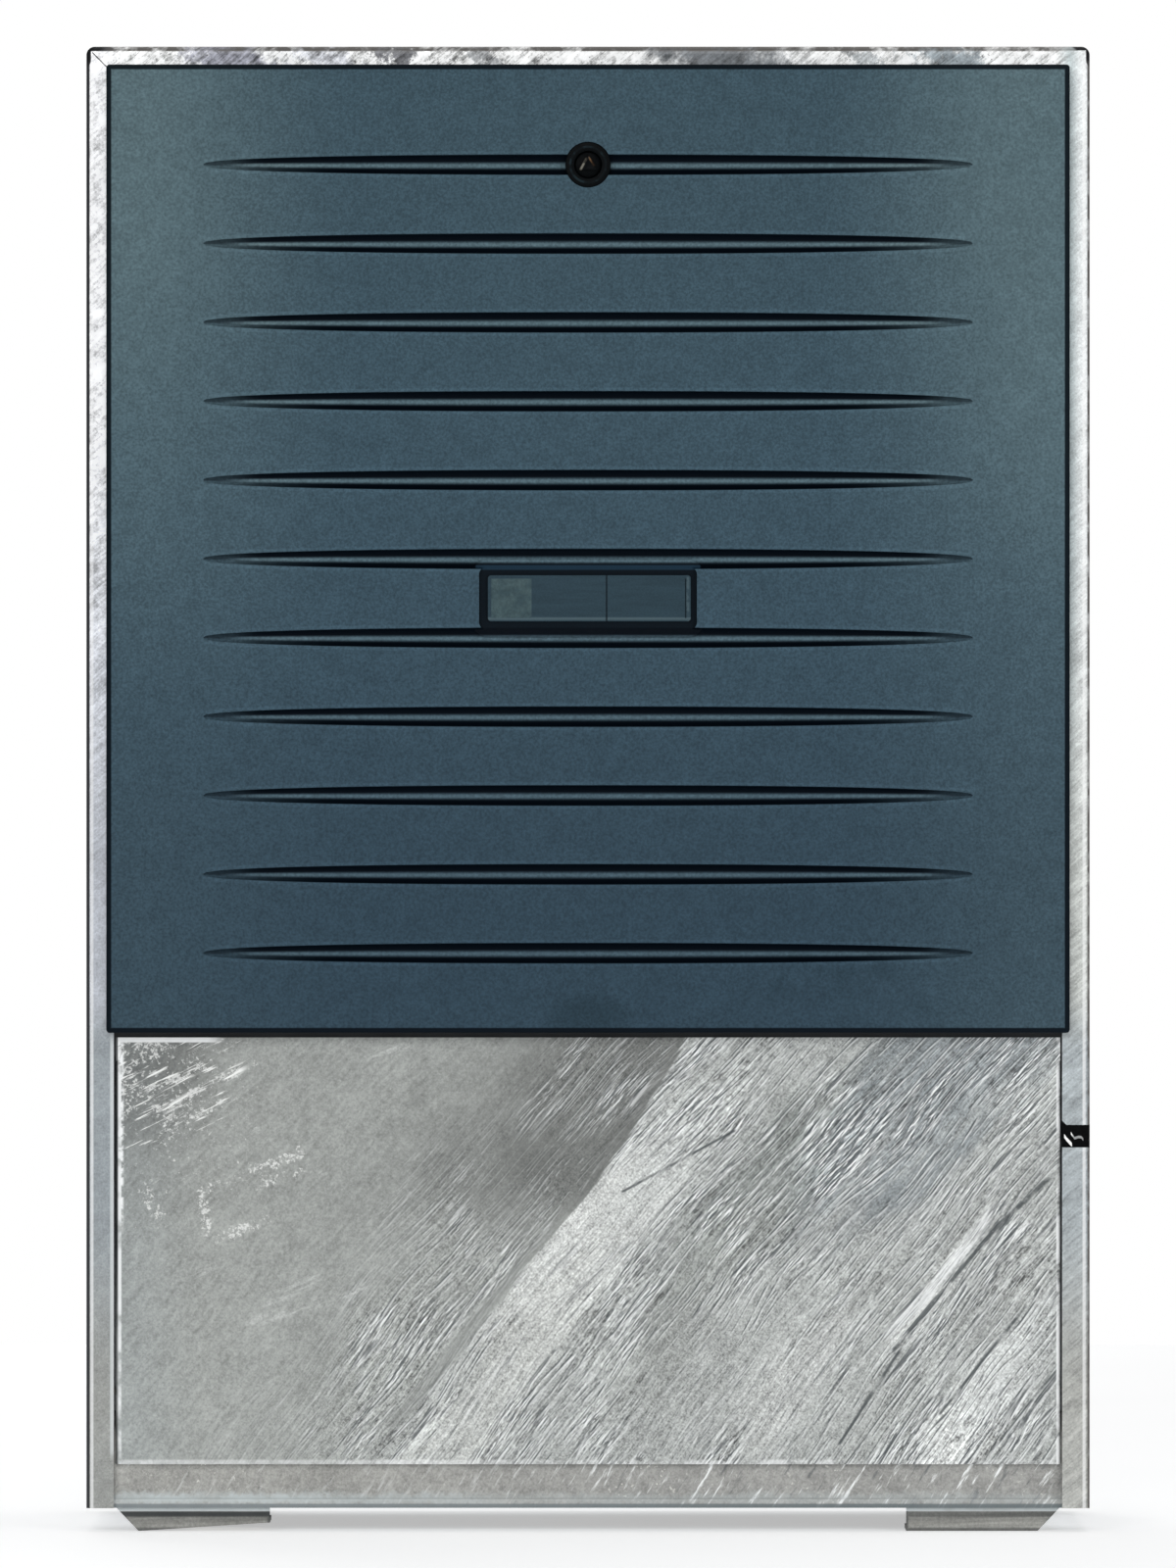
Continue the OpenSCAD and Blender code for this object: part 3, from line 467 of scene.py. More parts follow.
def zinc_cover():
    """Hot-dip zinc of the lower cover: smooth at the left, ridged slanting runs at the right with painted
    shade and highlights on their flanks, flecks, painted highlights along the edges.
    """
    c = colours()
    look = Look("zinc_cover")
    x, z = look.x, look.z
    runs = Runs(look, 50, 0.4, 0.17, 0.014, COVER_LOW.y)

    # Distance past the slanting border of the runs, which is sharp above and soft below
    wander = (look.noise(26) - 0.5) * 0.008
    steep = look.past(0.0586, 0.295, 0.875, 0.484)
    slack = look.past(0.026, 0.236, 0.784, 0.621)
    beyond = (steep | slack) + (wander + (runs.field(260, 9, 71) - 0.5) * 0.012)
    high = z.step(0.11, 0.165)
    right = beyond.step(-0.8 * MM, 1.6 * MM) * high + beyond.step(-18 * MM, 10 * MM) * (1 - high)

    # Tone of the smooth zone and of the runs
    mottle = look.noise(34, 4, 0.65)
    grit = look.noise(760, 3, 0.75)
    look.colour = look.shaded(c.zinc_grey, z.step(0.05, 0.24, 1.06, 0.93))
    shadow = beyond.step(-150 * MM, -10 * MM) * z.step(0.15, 0.23, 0.12, 1.0)
    look.shade(shadow.step(0.0, 1.0, 1.05, 0.54))
    look.paint(x.step(-0.225, -0.280, 0.0, 0.45), seen(146, 153, 154))
    corner = x.step(-0.185, -0.270) * z.step(0.190, 0.275)
    look.shade(corner.step(0.0, 1.0, 1.0, 0.57))
    rich = c.zinc_run
    for *place, tone, strength in RUN_PATCHES:
        rich = look.mix(runs.patch(*place) * strength, rich, seen(*tone))
    look.paint(right, rich)

    # Streaks: they fade out to the left, and are calm where the zinc is brightest
    feather = beyond.step(-110 * MM, -35 * MM) * look.noise(16, 2).step(0.36, 0.58, 0.30, 0.85)
    feather = feather * z.step(0.24, 0.16, 0.75, 1.0) * beyond.step(-2 * MM, -9 * MM, 0.3, 1.0)
    bottom = z.step(0.125, 0.055) * x.step(-0.215, -0.12, 0.0, 0.85)
    spread = right | feather | bottom
    calm = strongest([runs.patch(*place) for place in CALM_PATCHES])
    lively = runs.patch(130, 252, 110, 60)
    gain = spread * look.noise(13, 2).step(0.36, 0.62, 0.25, 1.5)
    gain = gain * (calm.step(0.0, 1.0, 1.0, 0.38) * (lively * 0.50 + 1.0))
    layers = []
    for fine, long, seed, detail, strength in RUN_STREAKS:
        layers.append((runs.field(fine, long, seed, detail=detail), gain * strength))
    look.vary((mottle, 0.6), (look.noise(150, 3, 0.6), 0.5), (grit, spread.step(0.0, 0.8, 0.8, 2.6)),
              (runs.field(300, 40, 61), 0.75), (look.noise(420, 3, 0.7), spread.step(0.0, 0.5, 0.9, 0.0)),
              *layers, (look.noise(340, 4, 0.7), gain * 1.3))
    coarse = runs.ridges(200, 9, 5, 2.0 * MM)
    middle = runs.ridges(390, 38, 17, 1.3 * MM)
    finest = runs.ridges(760, 78, 29, 0.8 * MM)
    crisp = gain * runs.field(60, 16, 40, detail=3).step(0.42, 0.62, 0.05, 1.0)
    # Painted shade on one flank of each ridge and a painted highlight on the other
    for ridge, flank_shade, flank_highlight in ((coarse, 0.55, 0.45), (middle, 0.75, 0.80), (finest, 0.80, 0.85)):
        look.paint(ridge.step(-0.05, -0.20, 0.0, flank_shade) * crisp, c.zinc_dark_and_shade)
        look.paint(ridge.step(0.06, 0.20, 0.0, flank_highlight) * crisp, c.zinc_bright_and_highlight)

    # Dark hairlines with a painted highlight on one flank, from long and sparse to short and dense
    for fine, long, seed, width, rare in RUN_HAIRLINES:
        here = look.noise(40 + fine * 0.3).step(rare - 0.08, rare + 0.04)
        here = here * (spread * calm.step(0.0, 1.0, 1.0, 0.35))
        look.paint(runs.lines(fine, long, seed, width * 1.3, 0.9 * MM) * here * 0.5, c.zinc_bright_and_highlight)
        look.paint(runs.lines(fine, long, seed, width) * here * 0.85, seen(70, 76, 78))

    # Painted shade in a trough along the border and in crevices, a painted highlight on the crevices' bright
    # flank, and pits
    trough = abs(beyond + 5 * MM).step(5.5 * MM, 2.5 * MM) * abs(z - 0.115).step(0.065, 0.040)
    look.paint(trough * 0.55, seen(136, 139, 136))
    broken = look.noise(70).step(0.34, 0.50, 0.4, 1.0)
    look.paint(look.scratches(FLANK_HIGHLIGHTS) * broken * 0.55, c.zinc_bright_and_highlight)
    look.paint(look.scratches(CREVICE_SHADOWS) * broken * 0.9, seen(66, 72, 74))
    pits = look.cells(75).step(0.075, 0.045) * beyond.step(-40 * MM, 10 * MM)
    look.paint(pits * 0.30, seen(84, 88, 90))

    # White flecks, threads and flaking at the upper left
    band = look.scratches(FLECKED_MARKS) * look.noise(80, 4, 0.7).step(0.32, 0.58, 0.2, 1.0)
    dust = x.step(-0.130, -0.250) * z.step(0.130, 0.230)
    near = (band * 0.22) | (corner * look.noise(60).step(0.38, 0.62) * 0.14 + dust * 0.06)
    dots = (look.noise(480, 4, 0.75) + near).step(0.67, 0.78)
    threads = (look.streaks(27, 560, 45, 0.006) + (corner + band) * 0.095).step(0.66, 0.76)
    white = (dots * 0.62) | (threads * corner.step(0.02, 0.3) * 0.9)
    strokes = look.scratches(FLAKED_STROKES) * look.streaks(29, 420, 34, 0.004).step(0.50, 0.60)
    look.paint(white | strokes, seen(243, 244, 242))
    wear_and_shade_mask = look.streaks(22, 420, 60, 0.006).step(0.46, 0.66) * grit.step(0.35, 0.65, 0.3, 1.0)
    look.paint(look.scratches(RUBBED_MARKS) * wear_and_shade_mask * 0.55, seen(214, 217, 215))

    # Bright edges: painted highlights along the folds, broken into flecks along the bottom, flaked zinc at
    # the upper left, and a painted shadow line in the gap down the left edge
    inset = x.step(0.1, -0.1, 0.0, 1.0 * MM)
    side = (abs(x) + inset).step(COVER_HIGH.x - 2.8 * MM, COVER_HIGH.x - 1.8 * MM)
    side = side * look.noise(60).step(0.36, 0.58, 0.05, 0.95)
    flaked = x.step(5.5 * MM - COVER_HIGH.x, 3.5 * MM - COVER_HIGH.x) * z.step(0.17, 0.20)
    flaked = flaked * look.noise(140).step(0.42, 0.56)
    top = z.step(COVER_HIGH.z - 3.4 * MM, COVER_HIGH.z - 2.4 * MM) * x.step(-0.215, -0.228)
    foot = z.step(COVER_LOW.z + 3.4 * MM, COVER_LOW.z + 1.8 * MM, 0.0, 0.62)
    unbroken = x.step(0.02, -0.10, 0.15, 0.7) * look.noise(180).step(0.32, 0.55, 0.5, 1.0)
    foot = foot * (look.noise(42, 4, 0.7).step(0.50, 0.62, 0.0, 0.95) | unbroken)
    look.paint(side | foot | flaked | top, c.zinc_bright_and_highlight)
    gap_shadow_line = x.step(1.6 * MM - COVER_HIGH.x, 0.8 * MM - COVER_HIGH.x) * z.step(0.10, 0.17, 0.6, 0.95)
    look.paint(gap_shadow_line, seen(36, 41, 43))
    normal = look.bump((coarse + middle * 0.7) * gain, 0.35 * MM, 0.5)
    return look.finish(middle.step(-0.2, 0.2, 0.60, 0.46), 0.35, normal)


def zinc_casing():
    """Bright zinc: grained and lightly streaked, white near the top, duller below, smudged along the top,
    with a painted highlight and a painted shadow line along the outer fold.
    """
    look = Look("zinc_casing")
    x, y, z = look.x, look.y, look.z
    runs = Runs(look, 40, 0.0, 0.5, 0.012, CASING_LOW.y)
    mottle = look.noise(36, 4, 0.62, warp=0.4)
    flakes = look.along((0.33, 0.33, 0.34), look.cells(70, "Color"))
    front = y.step(CASING_LOW.y + 4 * MM, CASING_LOW.y + 3 * MM)
    left = x.step(0.10, -0.10)

    # Front flange: the left side fades from white to lilac grey, the right side is greyer along the opening
    white = look.mix(z.step(0.68, 0.50), seen(247, 247, 249), seen(214, 217, 224))
    white = look.mix(z.step(0.52, 0.36), white, seen(190, 194, 202))
    pale = look.mix(abs(x).step(0.296, 0.287), seen(234, 237, 237), seen(192, 203, 204))
    pale = look.mix(z.step(0.62, 0.36), pale, seen(204, 207, 203))
    lowest = z.step(0.2, 0.08)
    below = look.mix(left, look.mix(lowest, seen(166, 173, 176), seen(170, 171, 167)),
                     look.mix(lowest, seen(146, 153, 157), seen(150, 152, 149)))
    flange = look.mix(z.step(0.325, 0.285), look.mix(left, pale, white), below)
    ceiling = z.step(CASING_HIGH.z - 19 * MM, CASING_HIGH.z - 16 * MM)
    ceiling = ceiling * abs(x).step(CASING_HIGH.x - 10 * MM, CASING_HIGH.x - 22 * MM)
    ragged = (look.noise(70, 5, 0.75) - 0.5) * 0.085 + (z - 0.88) * 1.1
    top = seen(253, 253, 252)
    for middle, half, tone in TOP_SMUDGES:
        off = abs(x - middle * MM + ragged)
        top = look.mix(off.step(half * 1.2 * MM, half * 0.4 * MM, 0.0, 0.95), top, seen(*tone))
    flange = look.mix(ceiling, flange, top)
    body = look.varied(seen(192, 196, 199), (mottle, 0.45), (flakes, 0.26), (look.noise(6), 0.35))
    look.colour = look.mix(front, body, flange)

    # Grain and strokes, with a painted highlight along the flange's inner edge at the lower left, and black
    # specks along the top
    strokes, fine = runs.field(230, 24, 5), runs.field(600, 60, 9)
    lively = left * z.step(0.50, 0.34, 1.3, 0.25) + (1 - left) * z.step(0.66, 0.48, 0.6, 1.1)
    amount = (ceiling * 1.5 + lively) * front + (1 - front) * 0.16
    cloudy = (ceiling + left * z.step(0.4, 0.6)) * (front * 1.3) + 0.7
    look.vary((mottle, 0.4), (look.noise(210, 4, 0.72), cloudy), (look.noise(700, 3, 0.75), 1.0),
              (strokes, amount), (fine, amount))
    lip_highlight = abs(x + 0.2846).step(1.6 * MM, 0.6 * MM) * front
    look.paint(lip_highlight * (z.step(0.305, 0.290) * z.step(0.042, 0.050, 0.0, 0.7)), seen(208, 213, 214))
    specks = look.noise(260, 3, 0.75).step(0.635, 0.70) * ceiling
    look.paint(specks * 0.75, seen(70, 70, 74))

    # Outer fold: a painted highlight, then a painted shadow line, broken at the right and nearly black at the
    # upper corners
    near_x = CASING_HIGH.x - abs(x)
    near_z = CASING_HIGH.z - z
    off = near_x & near_z
    along_top = z.step(CASING_HIGH.z - 12 * MM, CASING_HIGH.z - 8 * MM)
    glint = abs(off - 3.4 * MM).step(1.3 * MM, 0.6 * MM) * front
    look.paint(glint * along_top.step(0.0, 1.0, 0.5, 0.08), seen(252, 252, 252))
    wear_and_shade_mask = look.noise(90).step(0.36, 0.56, 0.45, 1.0) | x.step(-0.29, -0.295)
    corner = (near_x + near_z).step(14 * MM, 9 * MM)
    inwards = along_top * (0.9 * MM) - x.step(0.285, 0.297, 0.0, 0.6 * MM)
    edge = (off - inwards).step(2.3 * MM, 1.7 * MM) * (wear_and_shade_mask | corner)
    tone = look.mix(x.step(-0.28, -0.295), seen(104, 101, 98), seen(52, 54, 58))
    tone = look.mix(corner, tone, seen(14, 15, 18))
    look.paint(edge * y.step(CASING_LOW.y + 4.4 * MM, CASING_LOW.y + 3.1 * MM), tone)
    normal = look.bump(mottle + strokes * front * 0.5, 0.4 * MM, 0.3)
    return look.finish(mottle.step(0.2, 0.8, 0.56, 0.42), 0.4, normal)


def zinc_frame():
    """Duller zinc of the uprights, lugs and cable rail, with small white nibs."""
    c = colours()
    look = Look("zinc_frame")
    mottle = look.noise(40, 4, 0.62, warp=0.5)
    look.colour = look.mix(look.noise(11, 2).step(0.35, 0.65), seen(152, 151, 148), seen(160, 162, 162))
    look.vary((mottle, 0.75), (look.noise(640, 3, 0.75), 0.9))
    streaks = look.streaks(62, 330, 30, 0.008)
    look.paint(streaks.step(0.60, 0.74) * 0.55, c.zinc_bright_and_highlight)
    look.paint(streaks.step(0.40, 0.28) * 0.35, c.zinc_dark_and_shade)
    look.paint(look.nibs(22, 0.5, 0.62) * 0.8, seen(240, 242, 242))
    return look.finish(mottle.step(0.2, 0.8, 0.58, 0.44), 0.45, look.bump(mottle, 0.4 * MM, 0.35))


def zinc_base():
    """The base rails: warm grey zinc with nibs, a bright hem along the bottom, and dark lines at its edges:
    painted shadow under the cover along the top, painted shade along the bottom.
    """
    c = colours()
    look = Look("zinc_base")
    x, z = look.x, look.z
    low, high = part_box("base_rail_front")
    mottle = look.noise(40, 4, 0.62, warp=0.5)
    look.colour = look.mix(x.step(-0.2, 0.05), seen(156, 156, 152), seen(152, 152, 149))
    look.vary((mottle, 0.7), (look.noise(190, 4, 0.7), 0.7), (look.noise(640, 3, 0.75), 1.3))
    streaks = look.streaks(58, 330, 46, 0.008)
    lively = x.step(-0.12, 0.10, 0.4, 1.3)
    look.paint(streaks.step(0.57, 0.70, 0.0, 0.75) * lively, c.zinc_bright_and_highlight)
    look.paint(streaks.step(0.42, 0.30, 0.0, 0.5) * lively, c.zinc_dark_and_shade)
    look.paint(look.nibs(20, 0.48, 0.60) * 0.7, seen(228, 228, 221))
    # Painted shadow along the top, just under the cover
    look.shade(z.step(high.z - 2.6 * MM, high.z - 0.8 * MM, 1.0, 0.78))
    look.shade(z.step(high.z - 9 * MM, high.z - 1.5 * MM, 1.02, 0.76))
    rise = z - low.z
    ragged = ((look.noise(75, 4, 0.7) - 0.5) + (look.noise(330, 3, 0.7) - 0.5)) * (7 * MM)
    hem = abs(rise - 5.2 * MM + ragged).step(5.6 * MM, 0.4 * MM)
    hem = hem * (look.noise(30).step(0.3, 0.6, 0.6, 1.0) * x.step(-0.15, -0.03, 0.95, 0.40))
    look.paint(hem, seen(192, 200, 201))
    # Painted shade along the bottom edge
    underside_shade = look.mix(x.step(-0.2, 0.2), seen(122, 130, 133), seen(100, 110, 113))
    look.paint(rise.step(3.0 * MM, 1.9 * MM, 0.0, 0.9), underside_shade)
    return look.finish(mottle.step(0.2, 0.8, 0.58, 0.44), 0.4, look.bump(mottle, 0.4 * MM, 0.35))


def shaded_sill():
    """The sill's zinc, with painted shadow where it shows only through the gap under the door."""
    look = Look("shaded_sill")
    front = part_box("door_sill")[0].y
    mottle = look.noise(40, 4, 0.62)
    look.colour = look.varied(seen(158, 160, 159), (mottle, 0.7), (look.noise(640, 3, 0.75), 0.9))
    gap = look.y.step(front + 3 * MM, front + 2 * MM) * look.z.step(0.305, 0.302)
    look.paint(gap * 0.96, seen(14, 18, 22))
    return look.finish(mottle.step(0.2, 0.8, 0.58, 0.46), 0.4, look.bump(mottle, 0.3 * MM, 0.35))


def zinc_foot():
    """Weathered grey zinc with a painted highlight on the upper lip, a painted shadow line under it, and
    painted shade at the ends and along the sole.
    """
    look = Look("zinc_foot")
    x, z = look.x, look.z
    low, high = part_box("foot_front_right")
    mottle = look.noise(60, 4, 0.6)
    look.colour = look.varied(colours().foot, (mottle, 0.5), (look.noise(560, 3, 0.75), 1.1))
    look.vary((look.streaks(2, 330, 9, 0.003), 1.5))
    look.shade(z.step(8.5 * MM, 1.5 * MM, 0.94, 1.24) * x.step(-0.1, 0.1, 1.0, 1.18))
    # Painted shade: a shadow line under the lip, the ends and the sole
    gap = abs(z - (high.z - 3.9 * MM)).step(2.4 * MM, 0.9 * MM) * x.step(-0.1, 0.1, 1.0, 0.62)
    end = abs(x).step(low.x + 1.8 * MM, low.x + 0.9 * MM)
    sole_shade = z.step(2.6 * MM, 1.2 * MM, 0.0, 0.72)
    outer = abs(x).step(high.x - 12 * MM, high.x - 4 * MM, 0.0, 0.4)
    look.paint((gap | (end * 0.7) | sole_shade | outer) * 0.9, seen(42, 46, 48))
    lip_highlight = z.step(high.z - 2.5 * MM, high.z - 1.8 * MM)
    look.paint(lip_highlight * look.noise(50).step(0.3, 0.5, 0.6, 0.92), seen(206, 213, 215))
    return look.finish(mottle.step(0.2, 0.8, 0.64, 0.52), 0.35, look.bump(mottle, 0.3 * MM, 0.35))


def plated_steel():
    """Zinc-plated fasteners: fine turning marks and a slight yellow cast in places."""
    look = Look("plated_steel")
    marks = look.noise(900, 2, 0.6, look.point(look.x, look.y * 0.15, look.z))
    cast = look.noise(120)
    look.colour = look.mix(cast.step(0.4, 0.7), seen(196, 199, 202), seen(188, 184, 168))
    look.shade(marks.step(0.3, 0.7, 0.88, 1.08))
    return look.finish(cast.step(0.2, 0.8, 0.28, 0.42), 0.85, look.bump(marks, 0.05 * MM, 0.4))


def bare_copper():
    """Drawn copper bar: lines along its length, with brown tarnish in soft clouds."""
    look = Look("bare_copper")
    lines = look.noise(1, 3, 0.6, look.point(look.x * 6, look.y * 900, look.z * 900))
    tarnish = look.noise(18, 4, 0.6)
    look.colour = look.mix(tarnish.step(0.45, 0.72), colours().copper, (0.20, 0.075, 0.04))
    look.shade(lines.step(0.3, 0.7, 0.86, 1.12))
    return look.finish(tarnish.step(0.3, 0.7, 0.26, 0.46), 0.92, look.bump(lines, 0.06 * MM, 0.4))


def cast_resin():
    """Red-brown insulators with a slight orange-peel gloss and dust."""
    look = Look("cast_resin")
    dust = look.noise(45, 4, 0.65)
    look.colour = look.mix(dust.step(0.52, 0.75, 0.0, 0.35), colours().resin, (0.30, 0.22, 0.18))
    return look.finish(dust.step(0.3, 0.7, 0.28, 0.45), 0.0, look.bump(look.noise(260, 2), 0.12 * MM, 0.4))


def rail_moulding():
    """Dark grey moulded rails with fine grain and lighter wear."""
    look = Look("rail_moulding")
    grain = look.noise(850, 3, 0.6)
    look.colour = look.shaded(colours().rail, grain.step(0.25, 0.75, 0.8, 1.25))
    look.paint(look.noise(30).step(0.55, 0.8, 0.0, 0.25), (0.10, 0.10, 0.10))
    return look.finish(grain.step(0.2, 0.8, 0.46, 0.62), 0.0, look.bump(grain, 0.08 * MM, 0.5))


def silvered_contact():
    """Silver-plated spring contacts, tarnished in soft patches."""
    look = Look("silvered_contact")
    tarnish = look.noise(70, 4, 0.6)
    marks = look.noise(1, 2, 0.6, look.point(look.x * 700, look.y * 60, look.z * 700))
    look.colour = look.mix(tarnish.step(0.45, 0.75), (0.74, 0.73, 0.69), (0.36, 0.31, 0.22))
    return look.finish(tarnish.step(0.2, 0.8, 0.24, 0.42), 0.9, look.bump(marks, 0.05 * MM, 0.4))


def fired_ceramic():
    """Unglazed ceramic: warm white, with pores and faint grey handling marks."""
    look = Look("fired_ceramic")
    pores = look.noise(800, 2).step(0.30, 0.38, 0.72, 1.0)
    marks = look.noise(38, 4, 0.6)
    look.colour = look.shaded(colours().ceramic, pores)
    look.paint(marks.step(0.55, 0.78, 0.0, 0.4), (0.36, 0.33, 0.27))
    return look.finish(marks.step(0.3, 0.7, 0.52, 0.68), 0.0, look.bump(pores, 0.06 * MM, 0.4))


def black_lock():
    """Black lock with painted brownish glints along the key nose's edges and a faint painted glint round its
    recess.
    """
    look = Look("black_lock")
    x, z = look.x, look.z
    glint_and_gloss_noise = look.noise(260, 3, 0.6)
    grain = look.noise(1300, 2)
    look.colour = look.shaded(colours().lock, grain.step(0.3, 0.7, 0.75, 1.3))
    middle = LOCK_Z / MM
    # Painted glints along two edges of the key nose, broken by noise
    nose_glints = look.scratches(((-4.4, middle - 2.8, -1.0, middle + 3.6, 1.0),
                           (0.6, middle + 4.4, 3.6, middle - 0.4, 0.9)))
    glint_tone = look.mix(x.step(-2 * MM, 2 * MM), seen(126, 124, 114), seen(112, 84, 58))
    look.paint(nose_glints * glint_and_gloss_noise.step(0.38, 0.58, 0.15, 0.9), glint_tone)
    # A faint painted glint round the recess
    ring = look.length(look.point(x, 0.0, z - LOCK_Z))
    rim = abs(ring - 10.6 * MM).step(0.9 * MM, 0.4 * MM) * look.noise(160, 2).step(0.42, 0.6, 0.1, 0.6)
    look.paint(rim, seen(34, 48, 54))
    normal = look.bump(grain, 0.04 * MM, 0.4)
    return look.finish(glint_and_gloss_noise.step(0.2, 0.8, 0.36, 0.52), 0.0, normal, Specular_IOR_Level=0.04)


def black_insert():
    """Matte black moulding in the flange's notch."""
    look = Look("black_insert")
    grain = look.noise(1100, 2)
    look.colour = look.shaded((0.0016, 0.0018, 0.0022), grain.step(0.3, 0.7, 0.6, 1.5))
    return look.finish(0.7, 0.0, look.bump(grain, 0.04 * MM, 0.3), Specular_IOR_Level=0.06)


def bright_strip():
    """Bright bent spring strip, greyer towards its waved end."""
    look = Look("bright_strip")
    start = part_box("cover_clip")[0].x
    rub = look.noise(700, 2)
    waved = look.x.step(start + 4.2 * MM, start + 5.6 * MM)
    look.colour = look.mix(waved, seen(255, 255, 253), seen(150, 152, 152))
    look.shade(rub.step(0.3, 0.7, 0.9, 1.05))
    return look.finish(0.4, 0.1, look.bump(rub, 0.03 * MM, 0.3))


def label_moulding():
    """Satin label plate, a little bluer than the door, with faint rubbing marks, painted highlights along its
    bottom and right edges, and painted shade on its sides in the groove.
    """
    look = Look("label_moulding")
    grain = look.noise(900, 2)
    rub = look.noise(1, 3, 0.6, look.point(look.x * 30, look.y * 30, look.z * 300))
    look.colour = look.shaded(seen(44, 63, 73), rub.step(0.3, 0.7, 0.92, 1.08))
    look.shade(grain.step(0.3, 0.7, 0.93, 1.07))
    bottom_edge_highlight = abs(look.z - (LABEL_LOW.z + 1.6 * MM)).step(1.2 * MM, 0.4 * MM) * 0.35
    side_edge_highlight = abs(look.x - (LABEL_HIGH.x - 1.7 * MM)).step(1.1 * MM, 0.6 * MM)
    side_edge_highlight = side_edge_highlight * look.noise(330, 2).step(0.40, 0.58, 0.05, 0.28)
    look.paint(bottom_edge_highlight | side_edge_highlight, seen(104, 124, 130))
    groove_shade = look.y.step(LABEL_LOW.y + 0.2 * MM, LABEL_LOW.y + 0.5 * MM)
    look.paint(groove_shade * 0.75, seen(18, 30, 38))
    return look.finish(0.48, 0.0, look.bump(grain, 0.05 * MM, 0.4), Specular_IOR_Level=0.08)


def bare_card():
    """Bare grey-green card, rubbed and speckled."""
    look = Look("bare_card")
    speck = look.noise(600, 3, 0.65)
    look.colour = look.mix(look.noise(140).step(0.35, 0.65), seen(52, 72, 78), seen(66, 86, 90))
    look.shade(speck.step(0.3, 0.7, 0.84, 1.14))
    return look.finish(0.52, 0.0, look.bump(speck, 0.04 * MM, 0.4), Specular_IOR_Level=0.14)


def pale_floor():
    """Pale, faintly glowing studio floor."""
    look = Look("pale_floor")
    look.colour = look.shaded((0.90, 0.90, 0.90), look.noise(3).step(0.3, 0.7, 0.99, 1.01))
    return look.finish(0.9, 0.0, Specular_IOR_Level=0.1, Emission_Color=(1, 1, 1, 1), Emission_Strength=0.45)


FINISHES = {}


def finish_of(maker):
    """The material of a finish, made once and shared by every piece that has it."""
    if maker.__name__ not in FINISHES:
        FINISHES[maker.__name__] = maker()
    return FINISHES[maker.__name__]


def dress(names, maker):
    """Gives CAD nodes a finish."""
    for name in names:
        if name not in NODES:
            raise RuntimeError(f"no piece named {name}")
        slots = NODES[name].data.materials
        slots.clear()
        slots.append(finish_of(maker))


def matching(*starts):
    return [name for name in sorted(NODES) if name.startswith(starts)]


# Modelling by hand


def deselect():
    """Leaves edit mode and deselects everything."""
    if bpy.context.object and bpy.context.object.mode != "OBJECT":
        bpy.ops.object.mode_set(mode="OBJECT")
    bpy.ops.object.select_all(action="DESELECT")


def select(*pieces):
    """Selects these pieces alone and makes the first one active."""
    deselect()
    for piece in pieces:
        piece.select_set(True)
    bpy.context.view_layer.objects.active = pieces[0]


def choose(piece, kind, test):
    """Enters edit mode on a piece, with only those faces, edges or points selected that pass the test."""
    select(piece)
    bpy.ops.object.mode_set(mode="EDIT")
    bpy.ops.mesh.select_mode(type=kind)
    bpy.ops.mesh.select_all(action="DESELECT")
    bpy.ops.object.mode_set(mode="OBJECT")
    parts = {"FACE": piece.data.polygons, "EDGE": piece.data.edges, "VERT": piece.data.vertices}[kind]
    for part in parts:
        part.select = test(part)
    if not any(part.select for part in parts):
        raise RuntimeError(f"nothing to select on {piece.name}")
    bpy.ops.object.mode_set(mode="EDIT")


def choose_front(piece):
    choose(piece, "FACE", lambda face: face.normal.y < -0.9)


def extrude(depth):
    """Extrudes the selected faces along Y."""
    bpy.ops.mesh.extrude_region_move(TRANSFORM_OT_translate={"value": (0, depth, 0)})


def push(depth):
    """Moves what is selected along Y."""
    bpy.ops.transform.translate(value=(0, depth, 0))


def add_cylinder(name, radius, depth, middle, sides, turn=90):
    """A cylinder along Y, or along Z where turn is 0."""
    deselect()
    bpy.ops.mesh.primitive_cylinder_add(vertices=sides, radius=radius, depth=depth, location=middle,
                                        rotation=(math.radians(turn), 0, 0))
    piece = bpy.context.object
    piece.name = name
    bpy.ops.object.transform_apply(location=True, rotation=True, scale=True)
    return piece


def add_box(name, first, second):
    """A box between two opposite corners."""
    low, high = Vector(map(min, first, second)), Vector(map(max, first, second))
    deselect()
    bpy.ops.mesh.primitive_cube_add(size=1, location=(low + high) / 2)
    piece = bpy.context.object
    piece.name = name
    piece.scale = high - low
    bpy.ops.object.transform_apply(location=True, rotation=True, scale=True)
    return piece


def use_modifier(piece, kind, **values):
    """Adds a modifier and applies it at once."""
    select(piece)
    modifier = piece.modifiers.new(kind.title(), kind)
    for name, value in values.items():
        setattr(modifier, name, value)
    bpy.ops.object.modifier_apply(modifier=modifier.name)


def round_edges(piece, width, segments=2, angle=35):
    use_modifier(piece, "BEVEL", width=width, segments=segments, limit_method="ANGLE",
                 angle_limit=math.radians(angle))
    return piece


def cut(piece, cutter):
    """Takes the cutter's shape out of a piece."""
    use_modifier(piece, "BOOLEAN", object=cutter, operation="DIFFERENCE", solver="EXACT")
    bpy.data.objects.remove(cutter)


def join(pieces, name):
    select(*pieces)
    bpy.ops.object.join()
    pieces[0].name = name
    return pieces[0]


def copy_to(piece, name, shift):
    """A copy with a mesh of its own, moved by shift in its mesh."""
    twin = piece.copy()
    twin.data = piece.data.copy()
    twin.name = name
    bpy.context.scene.collection.objects.link(twin)
    twin.data.transform(Matrix.Translation(shift))
    return twin


